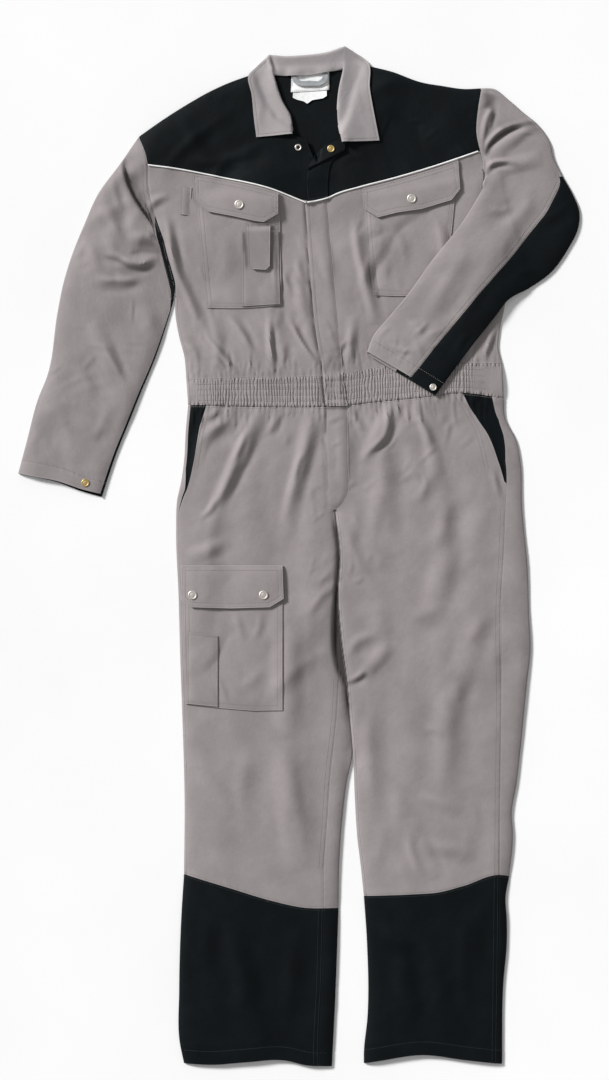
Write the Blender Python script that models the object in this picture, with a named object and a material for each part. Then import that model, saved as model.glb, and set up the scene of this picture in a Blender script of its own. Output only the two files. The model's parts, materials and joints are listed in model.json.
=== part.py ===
"""A long-sleeved boiler suit laid flat on a surface: back layer below, front layer above.

Lengths are in millimetres up to the meshes, which are in metres. +X is the wearer's left,
+Y runs from the hems to the collar and +Z is up. Each cloth piece is a thin closed wall.
"""

import math
from collections import namedtuple

import bpy
import numpy as np
from mathutils import Vector
from mathutils.bvhtree import BVHTree

# ---- driving sizes ----
MM = 0.001
WALL = 1.5  # thickness of one cloth layer
DOUBLE_WALL = 2.2  # two layers sewn together: collar, placket, flaps
GAP = 0.3  # between neighbouring pieces
LAYER_RISE = 4.6  # from the middle of the back layer to the middle of the front layer
ROLL = LAYER_RISE / 2  # radius of the rolled edge that joins the layers
BACK_Z = WALL / 2
FRONT_Z = BACK_Z + LAYER_RISE
SEAM_IN = ROLL + 1.3  # a side seam lies this far in from the outline
ROLL_ANGLES = (0,)  # points of the rolled edge between its top and its bottom
SHIFT_X, SHIFT_Y = 1.85, -2.6  # brings the middle of the suit's box to the origin
FINE = 24  # points for each span of a smooth line

GATHER_PITCH = 7.4
GATHER_RISE = 0.8
SNAP_WIDTH = 15.0
SNAP_PROFILE = ((1.0, 0.0), (0.96, 1.2), (0.5, 2.4))  # share of the radius, height
PIPING_WIDTH = 3.4
PIPING_CELLS = 12
PIPING_RIGHT_END = (8, 587.5)
PIPING_LEFT_START = (50, 598)
PIPING_LEFT_END = (294, 671)

LEFT, MIDDLE, RIGHT = "left", "middle", "right"
Column = namedtuple("Column", "side offset level")
Fold = namedtuple("Fold", "x0 y0 x1 y1 width height")
Hip = namedtuple("Hip", "y wrap opening")
Paint = namedtuple("Paint", "red green blue roughness metallic")

GREY = Paint(0.33, 0.31, 0.31, 0.85, 0.0)
BLACK = Paint(0.010, 0.013, 0.014, 0.85, 0.0)
WHITE = Paint(0.80, 0.80, 0.80, 0.7, 0.0)
MID_GREY = Paint(0.18, 0.18, 0.18, 0.8, 0.0)
SILVER = Paint(0.72, 0.71, 0.68, 0.25, 1.0)
BRASS = Paint(0.50, 0.38, 0.20, 0.30, 1.0)

# ---- edges: each row is one point, x and y ----
SIDE_RIGHT = ((-187, 294), (-190, 330), (-200, 370), (-206, 400), (-208, 432))
ARMHOLE_RIGHT = (
    (-208, 432), (-220, 480), (-233, 522), (-245, 565), (-251, 600), (-251, 648),
)
YOKE_ARMHOLE_RIGHT = ((-251, 648), (-254, 665), (-260, 682), (-266, 695))
SIDE_LEFT = ((333, 321), (327, 345), (329, 375), (338, 420), (340, 460), (325, 510), (309, 560),
             (304, 600), (303, 640))
ARMHOLE_LEFT = ((303, 640), (300, 660), (297, 672))
YOKE_ARMHOLE_LEFT = ((297, 672), (291, 700), (293, 738), (299, 775))
YOKE_SEAM_RIGHT = ((-251, 648), (-210, 643), (-130, 628), (-50, 609), (-10, 593), (30, 588))
YOKE_SEAM_LEFT = ((30, 588), (60, 600), (100, 612), (160, 628), (210, 643), (262, 660), (297, 672))
YOKE_SEAM_BACK = ((-251, 648), (297, 672))
CENTRE_FRONT = ((60, 300), (57, 330), (48, 400), (38, 500), (30, 588))
CENTRE_NECK_RIGHT = ((30, 588), (28, 640), (10, 690))
CENTRE_NECK_LEFT = ((30, 588), (32, 640), (38, 680))
SHOULDER_RIGHT = ((-266, 695), (-220, 727), (-180, 752), (-148, 770), (-115, 785), (-84, 796))
SHOULDER_LEFT = ((113, 812), (150, 803), (200, 785), (235, 779), (270, 774), (299, 775))
NECK_RIGHT = ((-84, 796), (-72, 760), (-55, 728), (-30, 706), (10, 690))
NECK_LEFT = ((38, 680), (66, 692), (84, 720), (97, 765), (113, 812))
NECK_BACK = ((-84, 796), (-50, 793), (14, 794), (75, 801), (113, 812))

WAIST_TOP_RIGHT = ((-187, 294), (-100, 297), (6, 299), (60, 300))
WAIST_TOP_LEFT = ((60, 300), (120, 313), (200, 319), (263, 321), (333, 321))
WAIST_LOW_RIGHT = ((-184, 252), (-90, 250), (6, 249), (62, 250))
WAIST_LOW_LEFT = ((62, 250), (120, 257), (202, 265), (263, 272), (336, 264))
WAIST_SIDE_RIGHT = ((-187, 294), (-184, 252))
WAIST_SIDE_LEFT = ((333, 321), (336, 264))

CENTRE_SEAT = ((62, 250), (61, 160), (58, 77))
LEG_OUTER_RIGHT = (
    (-184, 252), (-188, 210), (-191, 160), (-196, 125), (-202, 98), (-204, 46), (-200, -63),
    (-197, -172), (-194, -254), (-190, -407), (-191, -522),
)
LEG_INNER = (
    (58, 77), (66, 5), (63, -63), (68, -131), (77, -200), (82, -260), (86, -330),
)
LEG_INNER_RIGHT_LOW = ((85, -330), (77, -368), (70, -424), (64, -510), (63, -578))
LEG_INNER_LEFT_LOW = ((88.5, -330), (91, -394), (95, -459), (101, -510), (106, -558))
LEG_OUTER_LEFT = (
    (336, 264), (338, 233), (357, 192), (364, 155), (366, 85), (370, 40), (374, 0), (378, -100),
    (380, -155), (375, -200), (370, -250), (357, -372), (349, -424), (351, -455), (345, -525),
)
SHIN_SEAM_RIGHT = ((-191, -522), (-118, -544), (-49, -565), (7, -577), (63, -578))
SHIN_SEAM_LEFT = ((106, -558), (184, -555), (227, -552), (270, -541), (330, -523), (345, -525))
HEM_RIGHT = ((-191, -834), (-144, -836), (-92, -832), (-25, -829), (11, -837), (52, -839))
HEM_LEFT = ((106, -834), (130, -830), (201, -820), (270, -828), (333, -835))
SHIN_OUTER_RIGHT = ((-191, -522), (-195, -584), (-199, -714), (-198, -800), (-191, -834))
SHIN_INNER_RIGHT = ((63, -578), (57, -740), (52, -839))
SHIN_INNER_LEFT = ((106, -558), (111, -632), (112, -757), (106, -818), (106, -834))
SHIN_OUTER_LEFT = ((345, -525), (339, -558), (341, -600), (341, -632), (335, -705), (333, -835))
INSEAM_RIGHT = (
    (54, 77), (60, 5), (58, -63), (61, -131), (64, -200), (61, -256), (50, -359), (44, -446),
    (39, -511), (39, -580), (36, -700), (31, -809), (31, -840),
)
OUTSEAM_LEFT = (
    (341, 122), (339, 80), (336, 0), (332, -60), (332, -250), (330, -400), (329, -523),
    (327, -700), (325, -840),
)

# The hip pockets: y, how far in the back panel wraps, how far in the opening's edge lies.
HIP_RIGHT = (
    Hip(252, 3.6, 30), Hip(216, 3.6, 22), Hip(181, 3.8, 18), Hip(147, 3.8, 15), Hip(112, 9.0, 12.5),
    Hip(76, 3.6, 3.9), Hip(-600, 3.6, 3.9),
)
HIP_LEFT = (
    Hip(272, 21, 72), Hip(226, 12, 50), Hip(192, 20, 45), Hip(155, 25, 38), Hip(118, 24.5, 28),
)

SLEEVE_OUTER_RIGHT = (
    (-266, 695), (-297, 650), (-335, 597), (-355, 552), (-375, 503), (-391, 450), (-400, 405),
    (-417, 300), (-432, 262), (-450, 195), (-465, 139),
)
SLEEVE_INNER_RIGHT = (
    (-214, 432), (-220, 395), (-240, 330), (-265, 270), (-285, 220), (-302, 178), (-328, 101),
)
CUFF_RIGHT = ((-465, 139), (-440, 134), (-400, 125), (-360, 110), (-328, 101))
SLEEVE_OUTER_LEFT_UPPER = (
    (299, 775), (320, 774), (343, 757), (365, 738), (395, 712), (413, 683), (418, 662), (433, 630),
)
SLEEVE_OUTER_LEFT_LOWER = (
    (433, 630), (450, 600), (461, 570), (460, 550), (440, 507), (415, 473), (378, 446), (343, 426),
    (324, 402), (276, 341), (222, 268),
)
SLEEVE_INNER_LEFT_UPPER = ((307, 642), (312, 640.5), (315, 631), (312, 621), (302, 609))
SLEEVE_INNER_LEFT_LOWER = (
    (302, 609), (268, 553), (218, 490), (175, 430), (150, 400), (120, 363), (110, 336),
)
CUFF_LEFT = ((110, 336), (140, 318), (180, 294), (222, 268))

# ---- the largest folds of the front layer, as ridges from one end to the other ----
BODY_FOLDS = (
    Fold(-205, 470, -100, 303, 34, 4.0),
    Fold(-165, 395, -95, 298, 26, 3.0),
    Fold(-48, 400, -42, 300, 26, 3.5),
    Fold(-10, 470, 28, 318, 30, 3.0),
    Fold(95, 560, 125, 385, 36, 5.0),
    Fold(85, 400, 88, 305, 26, 3.0),
    Fold(-145, 450, -100, 485, 40, 2.0),
)
LEG_FOLDS = (
    Fold(-60, 255, -150, 55, 40, 4.5),
    Fold(25, 255, -25, 30, 40, 4.5),
    Fold(-105, 255, -165, 185, 30, 3.0),
    Fold(155, 262, 105, 155, 34, 4.0),
    Fold(200, 265, 232, 110, 36, 3.5),
    Fold(150, 180, 150, 0, 50, 2.5),
    Fold(255, 60, 215, -110, 60, 3.5),
    Fold(-190, 0, -115, 25, 36, 2.5),
    Fold(40, -40, -20, -200, 70, 3.0),
    Fold(100, -200, 150, -140, 36, 3.0),
    Fold(-5, -260, 5, -520, 60, 3.5),
    Fold(180, -430, 225, -530, 44, 3.5),
    Fold(195, -470, 290, -495, 40, 2.5),
    Fold(230, -300, 300, -90, 60, 3.0),
)
SHIN_FOLDS = (
    Fold(-120, -600, -60, -800, 60, 3.0),
    Fold(200, -600, 240, -790, 60, 3.0),
)
SLEEVE_FOLDS_RIGHT = (
    Fold(-283, 655, -232, 535, 34, 5.0),
    Fold(-325, 500, -225, 488, 34, 4.5),
    Fold(-352, 445, -255, 440, 34, 3.0),
    Fold(-330, 385, -282, 285, 34, 3.5),
    Fold(-420, 250, -330, 200, 40, 2.5),
)
SLEEVE_FOLDS_LEFT = (
    Fold(306, 640, 395, 716, 40, 5.5),
    Fold(318, 740, 300, 655, 26, 3.0),
    Fold(303, 622, 372, 650, 34, 4.5),
    Fold(335, 560, 250, 430, 46, 4.0),
    Fold(420, 560, 330, 440, 46, 3.5),
    Fold(250, 400, 170, 320, 34, 2.5),
)

made = []  # every solid so far, as (corner points, triangles) in millimetres


def smooth(points):
    """A function from share of length to the place on the smooth line through the points."""
    knots = np.asarray(points, float)
    span = np.linalg.norm(np.diff(knots, axis=0), axis=1)[:, None]
    slope = np.diff(knots, axis=0) / span
    inner = (slope[:-1] * span[1:] + slope[1:] * span[:-1]) / (span[1:] + span[:-1])
    heading = np.vstack([slope[:1], inner, slope[-1:]])
    t = np.linspace(0, 1, FINE, endpoint=False)[:, None]
    rows = []
    for start, end, leave, arrive, length in zip(knots, knots[1:], heading, heading[1:], span):
        rows.append(
            (2 * t**3 - 3 * t**2 + 1) * start + (t**3 - 2 * t**2 + t) * length * leave
            + (3 * t**2 - 2 * t**3) * end + (t**3 - t**2) * length * arrive
        )
    return by_length(np.vstack(rows + [knots[-1:]]))


def by_length(points):
    """A function from share of length to the place on this chain of straight lines."""
    points = np.asarray(points, float)
    steps = np.linalg.norm(np.diff(points, axis=0), axis=1)
    reached = np.concatenate([[0], np.cumsum(steps)]) / steps.sum()

    def at(share):
        x = np.interp(share, reached, points[:, 0])
        y = np.interp(share, reached, points[:, 1])
        return np.array([x, y])

    return at


def stations(*runs):
    """Places along one or more smooth lines, each given as (points, number of steps)."""
    places = []
    for points, steps in runs:
        line = smooth(points)
        places = places[:-1] + [line(k / steps) for k in range(steps + 1)]
    return np.array(places)


def chain(*runs):
    """One line made of smooth lines end to end, as a function from share of length."""
    dense = []
    for points in runs:
        line = smooth(points)
        dense += [line(k / FINE) for k in range(FINE + 1)]
    kept = [dense[0]]
    for place in dense[1:]:
        if np.linalg.norm(place - kept[-1]) > 0.01:
            kept.append(place)
    return by_length(kept)


def x_at(points, y):
    """The x of a line that runs up or down, where it crosses y."""
    rows = np.array(sorted(points, key=lambda place: place[1]), float)
    return float(np.interp(y, rows[:, 1], rows[:, 0]))


def lay(start, end, left, right):
    """A flat piece from its four edges: a function of share across and station along."""
    last = len(left) - 1

    def at(share, station):
        along = station / last
        ends = (1 - along) * start(share) + along * end(share)
        sides = (1 - share) * left[station] + share * right[station]
        low = (1 - share) * left[0] + share * right[0]
        high = (1 - share) * left[last] + share * right[last]
        return ends + sides - (1 - along) * low - along * high

    at.last = last
    return at


def width_at(plan, station):
    return float(np.linalg.norm(plan(1, station) - plan(0, station)))


def share_of_x(plan, station, x):
    """The share across a station at which its x is the given one."""
    low, high = 0.0, 1.0
    for _ in range(24):
        half = (low + high) / 2
        if plan(half, station)[0] < x:
            low = half
        else:
            high = half
    return low


def fold_rise(folds, x, y):
    """The height that the folds add at one place."""
    total = 0.0
    for fold in folds:
        run = np.array([fold.x1 - fold.x0, fold.y1 - fold.y0], float)
        length = np.linalg.norm(run)
        away = np.array([x - fold.x0, y - fold.y0])
        along = float(away @ run) / length**2
        across = abs(float(away[0] * run[1] - away[1] * run[0])) / length
        if 0 < along < 1 and across < fold.width / 2:
            taper = math.sin(math.pi * along) ** 0.8
            total += fold.height * taper * (1 + math.cos(2 * math.pi * across / fold.width)) / 2
    return total


def upper(folds):
    """The height of the middle of the front layer, with these folds."""
    return lambda place, station: FRONT_Z + fold_rise(folds, *place)


def flat_back(place, station):
    return BACK_Z


def roll(side):
    """The columns of a rolled edge, from the front layer down to the back layer."""
    columns = [Column(side, ROLL, 1.0)]
    for degrees in ROLL_ANGLES:
        angle = math.radians(degrees)
        columns.append(Column(side, ROLL * (1 - math.cos(angle)), math.sin(angle)))
    columns.append(Column(side, ROLL, -1.0))
    return columns


def grid_of(plan, columns, low, high):
    """Places of every column at every station. low and high give the two layers' heights."""
    grid = np.zeros((plan.last + 1, len(columns), 3))
    for station in range(plan.last + 1):
        width = width_at(plan, station)
        for index, column in enumerate(columns):
            offset = column.offset(station) if callable(column.offset) else column.offset
            if column.side == LEFT:
                share = offset / width
            elif column.side == RIGHT:
                share = 1 - offset / width
            else:
                share = offset
            place = plan(share, station)
            bottom = low(place, station)
            height = bottom + (column.level + 1) / 2 * (high(place, station) - bottom)
            grid[station, index] = (*place, height)
    return grid


def between(first, last, count, level):
    """Inner columns of one layer, spread evenly between two shares that vary by station."""

    def column(part):
        return Column(
            MIDDLE, lambda station: first(station) * (1 - part) + last(station) * part, level
        )

    return [column(k / count) for k in range(count + 1)]


def normals_of(grid, keep):
    """Unit normals of a grid's points, from the cells that are kept."""
    normals = np.zeros_like(grid)
    for row, column in zip(*np.nonzero(keep)):
        a, b = grid[row, column], grid[row, column + 1]
        c, d = grid[row + 1, column + 1], grid[row + 1, column]
        normal = np.cross(c - a, d - b)
        normal = normal / max(np.linalg.norm(normal), 1e-9)
        for i, j in ((0, 0), (0, 1), (1, 1), (1, 0)):
            normals[row + i, column + j] += normal
    return unit(normals)


def unit(vectors):
    return vectors / np.maximum(np.linalg.norm(vectors, axis=-1, keepdims=True), 1e-9)


def square_rims(grid, normals):
    """Turns the normals at the rims upright, so that neighbouring rims face each other."""
    for column in (0, -1):
        level = np.abs(normals[:, column, 2]) > 0.5
        normals[level, column, :2] = 0
    for row, inner in ((0, 1), (-1, -2)):
        across = grid[inner] - grid[row]
        across[:, 2] = 0
        across = unit(across)
        along = (normals[row] * across).sum(axis=-1, keepdims=True)
        normals[row] = normals[row] - along * across
    return unit(normals)


def wall(name, grid, paint, thick=WALL, keep=None, upright=False):
    """A closed wall of even thickness about a grid of middle points."""
    rows, columns = grid.shape[:2]
    if keep is None:
        keep = np.ones((rows - 1, columns - 1), bool)
    if upright:
        normals = np.zeros_like(grid)
        normals[..., 2] = 1
    else:
        normals = square_rims(grid, normals_of(grid, keep))
    outer = grid + normals * thick / 2
    inner = grid - normals * thick / 2
    points = np.vstack([outer.reshape(-1, 3), inner.reshape(-1, 3)])
    under = rows * columns
    faces = []
    edges = set()
    for row, column in zip(*np.nonzero(keep)):
        a = row * columns + column
        quad = (a, a + 1, a + columns + 1, a + columns)
        for half in ((quad[0], quad[1], quad[2]), (quad[0], quad[2], quad[3])):
            faces.append(half)
            faces.append(tuple(under + k for k in reversed(half)))
        for start, end in zip(quad, quad[1:] + quad[:1]):
            edges.add((start, end))
    for start, end in sorted(edges):
        if (end, start) not in edges:
            faces.append((end, start, under + start, under + end))
    return solid(name, points, faces, paint)


def solid(name, points, faces, paint):
    """Makes the object, with its faces turned outwards, and remembers its shape."""
    used = sorted({k for face in faces for k in face})
    place = {old: new for new, old in enumerate(used)}
    points = points[used] + np.array([SHIFT_X, SHIFT_Y, 0.0])
    faces = [tuple(place[k] for k in face) for face in faces]
    triangles = [(f[0], f[k], f[k + 1]) for f in faces for k in range(1, len(f) - 1)]
    corners = points[np.array(triangles)]
    if np.einsum("ij,ij->i", corners[:, 0], np.cross(corners[:, 1], corners[:, 2])).sum() < 0:
        faces = [tuple(reversed(face)) for face in faces]
    mesh = bpy.data.meshes.new(name)
    mesh.from_pydata([tuple(point * MM) for point in points], [], faces)
    mesh.materials.append(material(name, paint))
    mesh.shade_smooth()
    mesh.set_sharp_from_angle(angle=math.radians(40))
    piece = bpy.data.objects.new(name, mesh)
    bpy.context.scene.collection.objects.link(piece)
    made.append((points, triangles))
    return piece


def material(name, paint):
    finish = bpy.data.materials.new(name)
    finish.use_nodes = True
    shader = finish.node_tree.nodes["Principled BSDF"]
    shader.inputs["Base Color"].default_value = (paint.red, paint.green, paint.blue, 1)
    shader.inputs["Roughness"].default_value = paint.roughness
    shader.inputs["Metallic"].default_value = paint.metallic
    return finish


# ---- resting one piece on those below ----
def all_below():
    """A search tree of every solid so far."""
    points, triangles = [], []
    for corners, faces in made:
        start = len(points)
        points += [tuple(corner) for corner in corners]
        triangles += [tuple(start + k for k in face) for face in faces]
    return BVHTree.FromPolygons(points, triangles)


def height_below(tree, x, y, reach=1.2):
    """The highest surface at a place and just beside it. The floor is at nought."""
    found = 0.0
    for dx, dy in ((0, 0), (reach, 0), (-reach, 0), (0, reach), (0, -reach)):
        start = Vector((x + dx + SHIFT_X, y + dy + SHIFT_Y, 1000.0))
        hit = tree.ray_cast(start, Vector((0.0, 0.0, -1.0)))
        if hit[0] is not None:
            found = max(found, hit[0].z)
    return found


def settle(grid, thick, reach=1.2, lift=GAP + 0.05, steps=4, rounds=40):
    """Sets a grid's heights so that its lower face just clears whatever lies below."""
    tree = all_below()
    rows, columns = grid.shape[:2]
    flat = grid[..., :2].reshape(-1, 2)
    corners, weights = samples_of(rows, columns, steps)
    places = (weights[..., None] * flat[corners]).sum(axis=1)
    rest = lift + thick / 2
    needs = np.array([height_below(tree, *place, reach) for place in places]) + rest
    heights = np.array([height_below(tree, *place, reach) for place in flat]) + rest
    for _ in range(rounds):
        short = np.maximum(needs - (weights * heights[corners]).sum(axis=1), 0)
        push = short[:, None] * weights / (weights**2).sum(axis=1, keepdims=True)
        raised = np.zeros_like(heights)
        np.maximum.at(raised, corners, push)
        heights += raised
    for _ in range(rounds):
        spare = (weights * heights[corners]).sum(axis=1) - needs
        room = np.where(weights > 0.01, spare[:, None] / np.maximum(weights, 0.01), np.inf)
        slack = np.full_like(heights, np.inf)
        np.minimum.at(slack, corners, room)
        heights -= np.maximum(slack, 0) / 3  # a third each: a cell rests on three corners
    grid[..., 2] = heights.reshape(rows, columns)
    return grid


def samples_of(rows, columns, steps):
    """Places all over a grid's cells, each as three corners and their weights."""
    corners, weights = [], []
    for row in range(rows - 1):
        for column in range(columns - 1):
            first = row * columns + column
            third = first + columns + 1
            for i in range(steps + 1):
                for j in range(steps + 1):
                    u, v = i / steps, j / steps
                    corners.append((first, first + 1 if u >= v else first + columns, third))
                    weights.append((1 - max(u, v), abs(u - v), min(u, v)))
    return np.array(corners), np.array(weights)


def patch(name, start, end, left, right, shape, paint, thick=WALL):
    """A flat piece laid on whatever is below it. shape is (rows, columns) of cells."""
    rows, columns = shape
    side_left = np.array([left(k / rows) for k in range(rows + 1)])
    side_right = np.array([right(k / rows) for k in range(rows + 1)])
    plan = lay(start, end, side_left, side_right)
    grid = np.zeros((rows + 1, columns + 1, 3))
    for row in range(rows + 1):
        for column in range(columns + 1):
            grid[row, column, :2] = plan(column / columns, row)
    settle(grid, thick)
    return wall(name, grid, paint, thick=thick, upright=True)


def box_patch(name, corners, shape, paint, thick=WALL):
    """A four-sided piece from its corners: low left, low right, high right, high left."""
    a, b, c, d = corners
    return patch(
        name, by_length((a, b)), by_length((d, c)), by_length((a, d)), by_length((b, c)),
        shape, paint, thick,
    )


def snap(name, x, y, paint, width=SNAP_WIDTH):
    """The domed cap of a press stud, upright on whatever is below it."""
    tree = all_below()
    sides = 10
    radius = width / 2
    ring = [math.tau * k / sides for k in range(sides)]
    base = height_below(tree, x, y, 2.0)
    for share in (0.5, 1.0):
        for angle in ring:
            base = max(base, height_below(
                tree, x + share * radius * math.cos(angle), y + share * radius * math.sin(angle)
            ))
    base += GAP
    points = []
    for share, rise in SNAP_PROFILE:
        for angle in ring:
            points.append((
                x + share * radius * math.cos(angle), y + share * radius * math.sin(angle),
                base + rise,
            ))
    top = len(SNAP_PROFILE) - 1
    faces = [tuple(reversed(range(sides))), tuple(range(top * sides, (top + 1) * sides))]
    for level in range(top):
        for k in range(sides):
            a = level * sides + k
            b = level * sides + (k + 1) % sides
            faces.append((a, b, b + sides, a + sides))
    return solid(name, np.array(points), faces, paint)


# ---- torso ----
def panel_behind(name, plan, rolled_left, rolled_right, wrap_left, wrap_right, count, paint):
    """A panel of the back layer that rolls over at its sides wherever they aren't open."""

    def inner_left(station):
        return (ROLL if station in rolled_left else GAP / 2) / width_at(plan, station)

    def inner_right(station):
        return 1 - (ROLL if station in rolled_right else GAP / 2) / width_at(plan, station)

    left = [Column(LEFT, wrap_left, 1.0)] + roll(LEFT)[:-1]
    right = roll(RIGHT)[:-1][::-1] + [Column(RIGHT, wrap_right, 1.0)]
    columns = left + between(inner_left, inner_right, count, -1.0) + right
    keep = np.ones((plan.last, len(columns) - 1), bool)
    for station in range(plan.last):
        if not {station, station + 1} <= set(rolled_left):
            keep[station, : len(left)] = False
        if not {station, station + 1} <= set(rolled_right):
            keep[station, -len(right):] = False
    grid = grid_of(plan, columns, flat_back, upper(LEG_FOLDS + BODY_FOLDS + SHIN_FOLDS))
    used_columns = [k for k in range(len(columns) - 1) if keep[:, k].any()]
    first, last = used_columns[0], used_columns[-1] + 1
    return wall(name, grid[:, first:last + 1], paint, keep=keep[:, first:last])


def panel_front(name, plan, first, last, count, folds, paint, waves=None):
    """A panel of the front layer between two shares across, given for each station."""
    columns = between(first, last, count, 1.0)
    grid = grid_of(plan, columns, flat_back, upper(folds))
    if waves:
        waves(grid)
    return wall(name, grid, paint)


TORSO_ROWS = 12
TORSO_COLUMNS = 10
SHOULDER_STEPS = 6
NECK_STEPS = 5
BACK_NECK_STEPS = 4
YOKE_COLUMNS = 6
UNDERARM_RIGHT = 5  # the station at which the right side meets its armhole
UNDERARM_LEFT = 11


def torso_sides():
    right = stations((SIDE_RIGHT, UNDERARM_RIGHT), (ARMHOLE_RIGHT, TORSO_ROWS - UNDERARM_RIGHT))
    left = stations((SIDE_LEFT, UNDERARM_LEFT), (ARMHOLE_LEFT, TORSO_ROWS - UNDERARM_LEFT))
    return right, left


def trimmed(plan, low, high):
    """The same piece with its two ends moved in, by low at the start and high at the end."""

    def at(share, station):
        place = plan(share, station)
        if station == 0:
            place = place + low * unit(plan(share, 1) - place)
        if station == plan.last:
            place = place + high * unit(plan(share, station - 1) - place)
        return place

    at.last = plan.last
    return at


def torso():
    sides = torso_sides()
    seam = GAP / 2
    waist = chain(WAIST_TOP_RIGHT, WAIST_TOP_LEFT)
    back = trimmed(lay(waist, smooth(YOKE_SEAM_BACK), *sides), seam, seam)
    panel_behind(
        "back_body", back, range(UNDERARM_RIGHT + 1), range(UNDERARM_LEFT + 1),
        SEAM_IN, SEAM_IN, TORSO_COLUMNS, GREY,
    )
    front = trimmed(lay(waist, chain(YOKE_SEAM_RIGHT, YOKE_SEAM_LEFT), *sides), seam, seam)

    def middle(station):
        return share_of_x(front, station, x_at(CENTRE_FRONT, front(0.5, station)[1]))

    def edge(station, underarm):
        inset = SEAM_IN + GAP if station <= underarm else GAP / 2
        return inset / width_at(front, station)

    def nudge(station):
        return seam / width_at(front, station)

    panel_front(
        "front_right", front, lambda s: edge(s, UNDERARM_RIGHT), lambda s: middle(s) - nudge(s),
        SHOULDER_STEPS + NECK_STEPS, BODY_FOLDS, GREY,
    )
    panel_front(
        "front_left", front, lambda s: middle(s) + nudge(s), lambda s: 1 - edge(s, UNDERARM_LEFT),
        SHOULDER_STEPS + NECK_STEPS, BODY_FOLDS, GREY,
    )


def yokes():
    """The yokes: across from the yoke seam to the shoulder line, along from side to side."""
    seam = GAP / 2
    shoulder, neck = SHOULDER_STEPS, BACK_NECK_STEPS
    outline = stations((SHOULDER_RIGHT, shoulder), (NECK_BACK, neck), (SHOULDER_LEFT, shoulder))
    seam_line = smooth(YOKE_SEAM_BACK)
    marks = [edge[0][0] for edge in (YOKE_SEAM_BACK, NECK_BACK, SHOULDER_LEFT)]
    marks.append(YOKE_SEAM_BACK[-1][0])
    low = [
        seam_line(share_on(YOKE_SEAM_BACK, x)) for x in spread(marks, (shoulder, neck, shoulder))
    ]
    back = lay(smooth(YOKE_ARMHOLE_RIGHT), smooth(YOKE_ARMHOLE_LEFT), np.array(low), outline)
    back = trimmed(back, seam, seam)
    rolled = set(range(shoulder + 1)) | set(range(shoulder + neck, 2 * shoulder + neck + 1))
    panel_behind("back_yoke", back, (), rolled, SEAM_IN, SEAM_IN, YOKE_COLUMNS, BLACK)

    def front_yoke(name, seam_points, start, end, runs, rolled_rows):
        total = sum(run[1] for run in runs)
        plan = lay(start, end, stations((seam_points, total)), stations(*runs))
        plan = trimmed(plan, seam, seam)

        def top(station):
            inset = SEAM_IN + GAP if station in rolled_rows else seam
            return 1 - inset / width_at(plan, station)

        panel_front(
            name, plan, lambda s: seam / width_at(plan, s), top, YOKE_COLUMNS, (), BLACK
        )

    front_yoke(
        "yoke_front_right", YOKE_SEAM_RIGHT, smooth(YOKE_ARMHOLE_RIGHT), smooth(CENTRE_NECK_RIGHT),
        ((SHOULDER_RIGHT, SHOULDER_STEPS), (NECK_RIGHT, NECK_STEPS)), range(SHOULDER_STEPS + 1),
    )
    front_yoke(
        "yoke_front_left", YOKE_SEAM_LEFT, smooth(CENTRE_NECK_LEFT), smooth(YOKE_ARMHOLE_LEFT),
        ((NECK_LEFT, NECK_STEPS), (SHOULDER_LEFT, SHOULDER_STEPS)),
        range(NECK_STEPS, NECK_STEPS + SHOULDER_STEPS + 1),
    )


def spread(marks, counts):
    """Even steps between each pair of neighbouring marks."""
    values = [marks[0]]
    for start, end, count in zip(marks, marks[1:], counts):
        values += [start + (end - start) * k / count for k in range(1, count + 1)]
    return values


def share_on(points, x):
    """The share of length of a smooth line at which it reaches x."""
    line = smooth(points)
    shares = np.linspace(0, 1, 400)
    xs = np.array([line(share)[0] for share in shares])
    return float(np.interp(x, xs, shares))


# ---- waistband ----
SIDE_TAB_X = 315  # where the smooth tab at the left side begins


def waistband():
    right = stations((WAIST_SIDE_RIGHT, 1))
    left = stations((WAIST_SIDE_LEFT, 1))
    plan = lay(
        chain(WAIST_TOP_RIGHT, WAIST_TOP_LEFT), chain(WAIST_LOW_RIGHT, WAIST_LOW_LEFT), right, left
    )
    plan = trimmed(plan, GAP / 2, GAP)
    panel_behind(
        "waistband_back", plan, (0, 1), (0, 1), SEAM_IN, SEAM_IN, TORSO_COLUMNS, GREY
    )

    def at_x(x, nudge=0.0):
        return lambda station: share_of_x(plan, station, x + nudge)

    def gathered(grid):
        grid[:, 1:-1:2, 2] += GATHER_RISE
        grid[:, 2:-1:2, 2] -= GATHER_RISE

    edge = SEAM_IN + GAP
    centre = WAIST_TOP_LEFT[0][0]
    right_count = 2 * round((centre - WAIST_TOP_RIGHT[0][0]) / GATHER_PITCH)
    panel_front(
        "waistband_front_right", plan, lambda s: edge / width_at(plan, s), at_x(centre, -GAP / 2),
        right_count, (), GREY, gathered,
    )
    left_count = 2 * round((SIDE_TAB_X - centre) / GATHER_PITCH)
    panel_front(
        "waistband_front_left", plan, at_x(centre, GAP / 2), at_x(SIDE_TAB_X, -GAP / 2),
        left_count, (), GREY, gathered,
    )
    panel_front(
        "waist_side_tab_left", plan, at_x(SIDE_TAB_X, GAP / 2),
        lambda s: 1 - edge / width_at(plan, s), 2, (), GREY,
    )


# ---- legs ----
SEAT_ROWS = 5
LEG_ROWS = 18
SHIN_ROWS = 7
LEG_COLUMNS = 10
LEG_BACK_COLUMNS = 5
INSEAM_EASE = 1.2  # keeps the two legs apart along the overlap


def hip_value(rows, y, field):
    ordered = sorted(rows, key=lambda row: row.y)
    return float(np.interp(y, [row.y for row in ordered], [getattr(row, field) for row in ordered]))


def moved(points, dx):
    return tuple((x + dx, y) for x, y in points)


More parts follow.
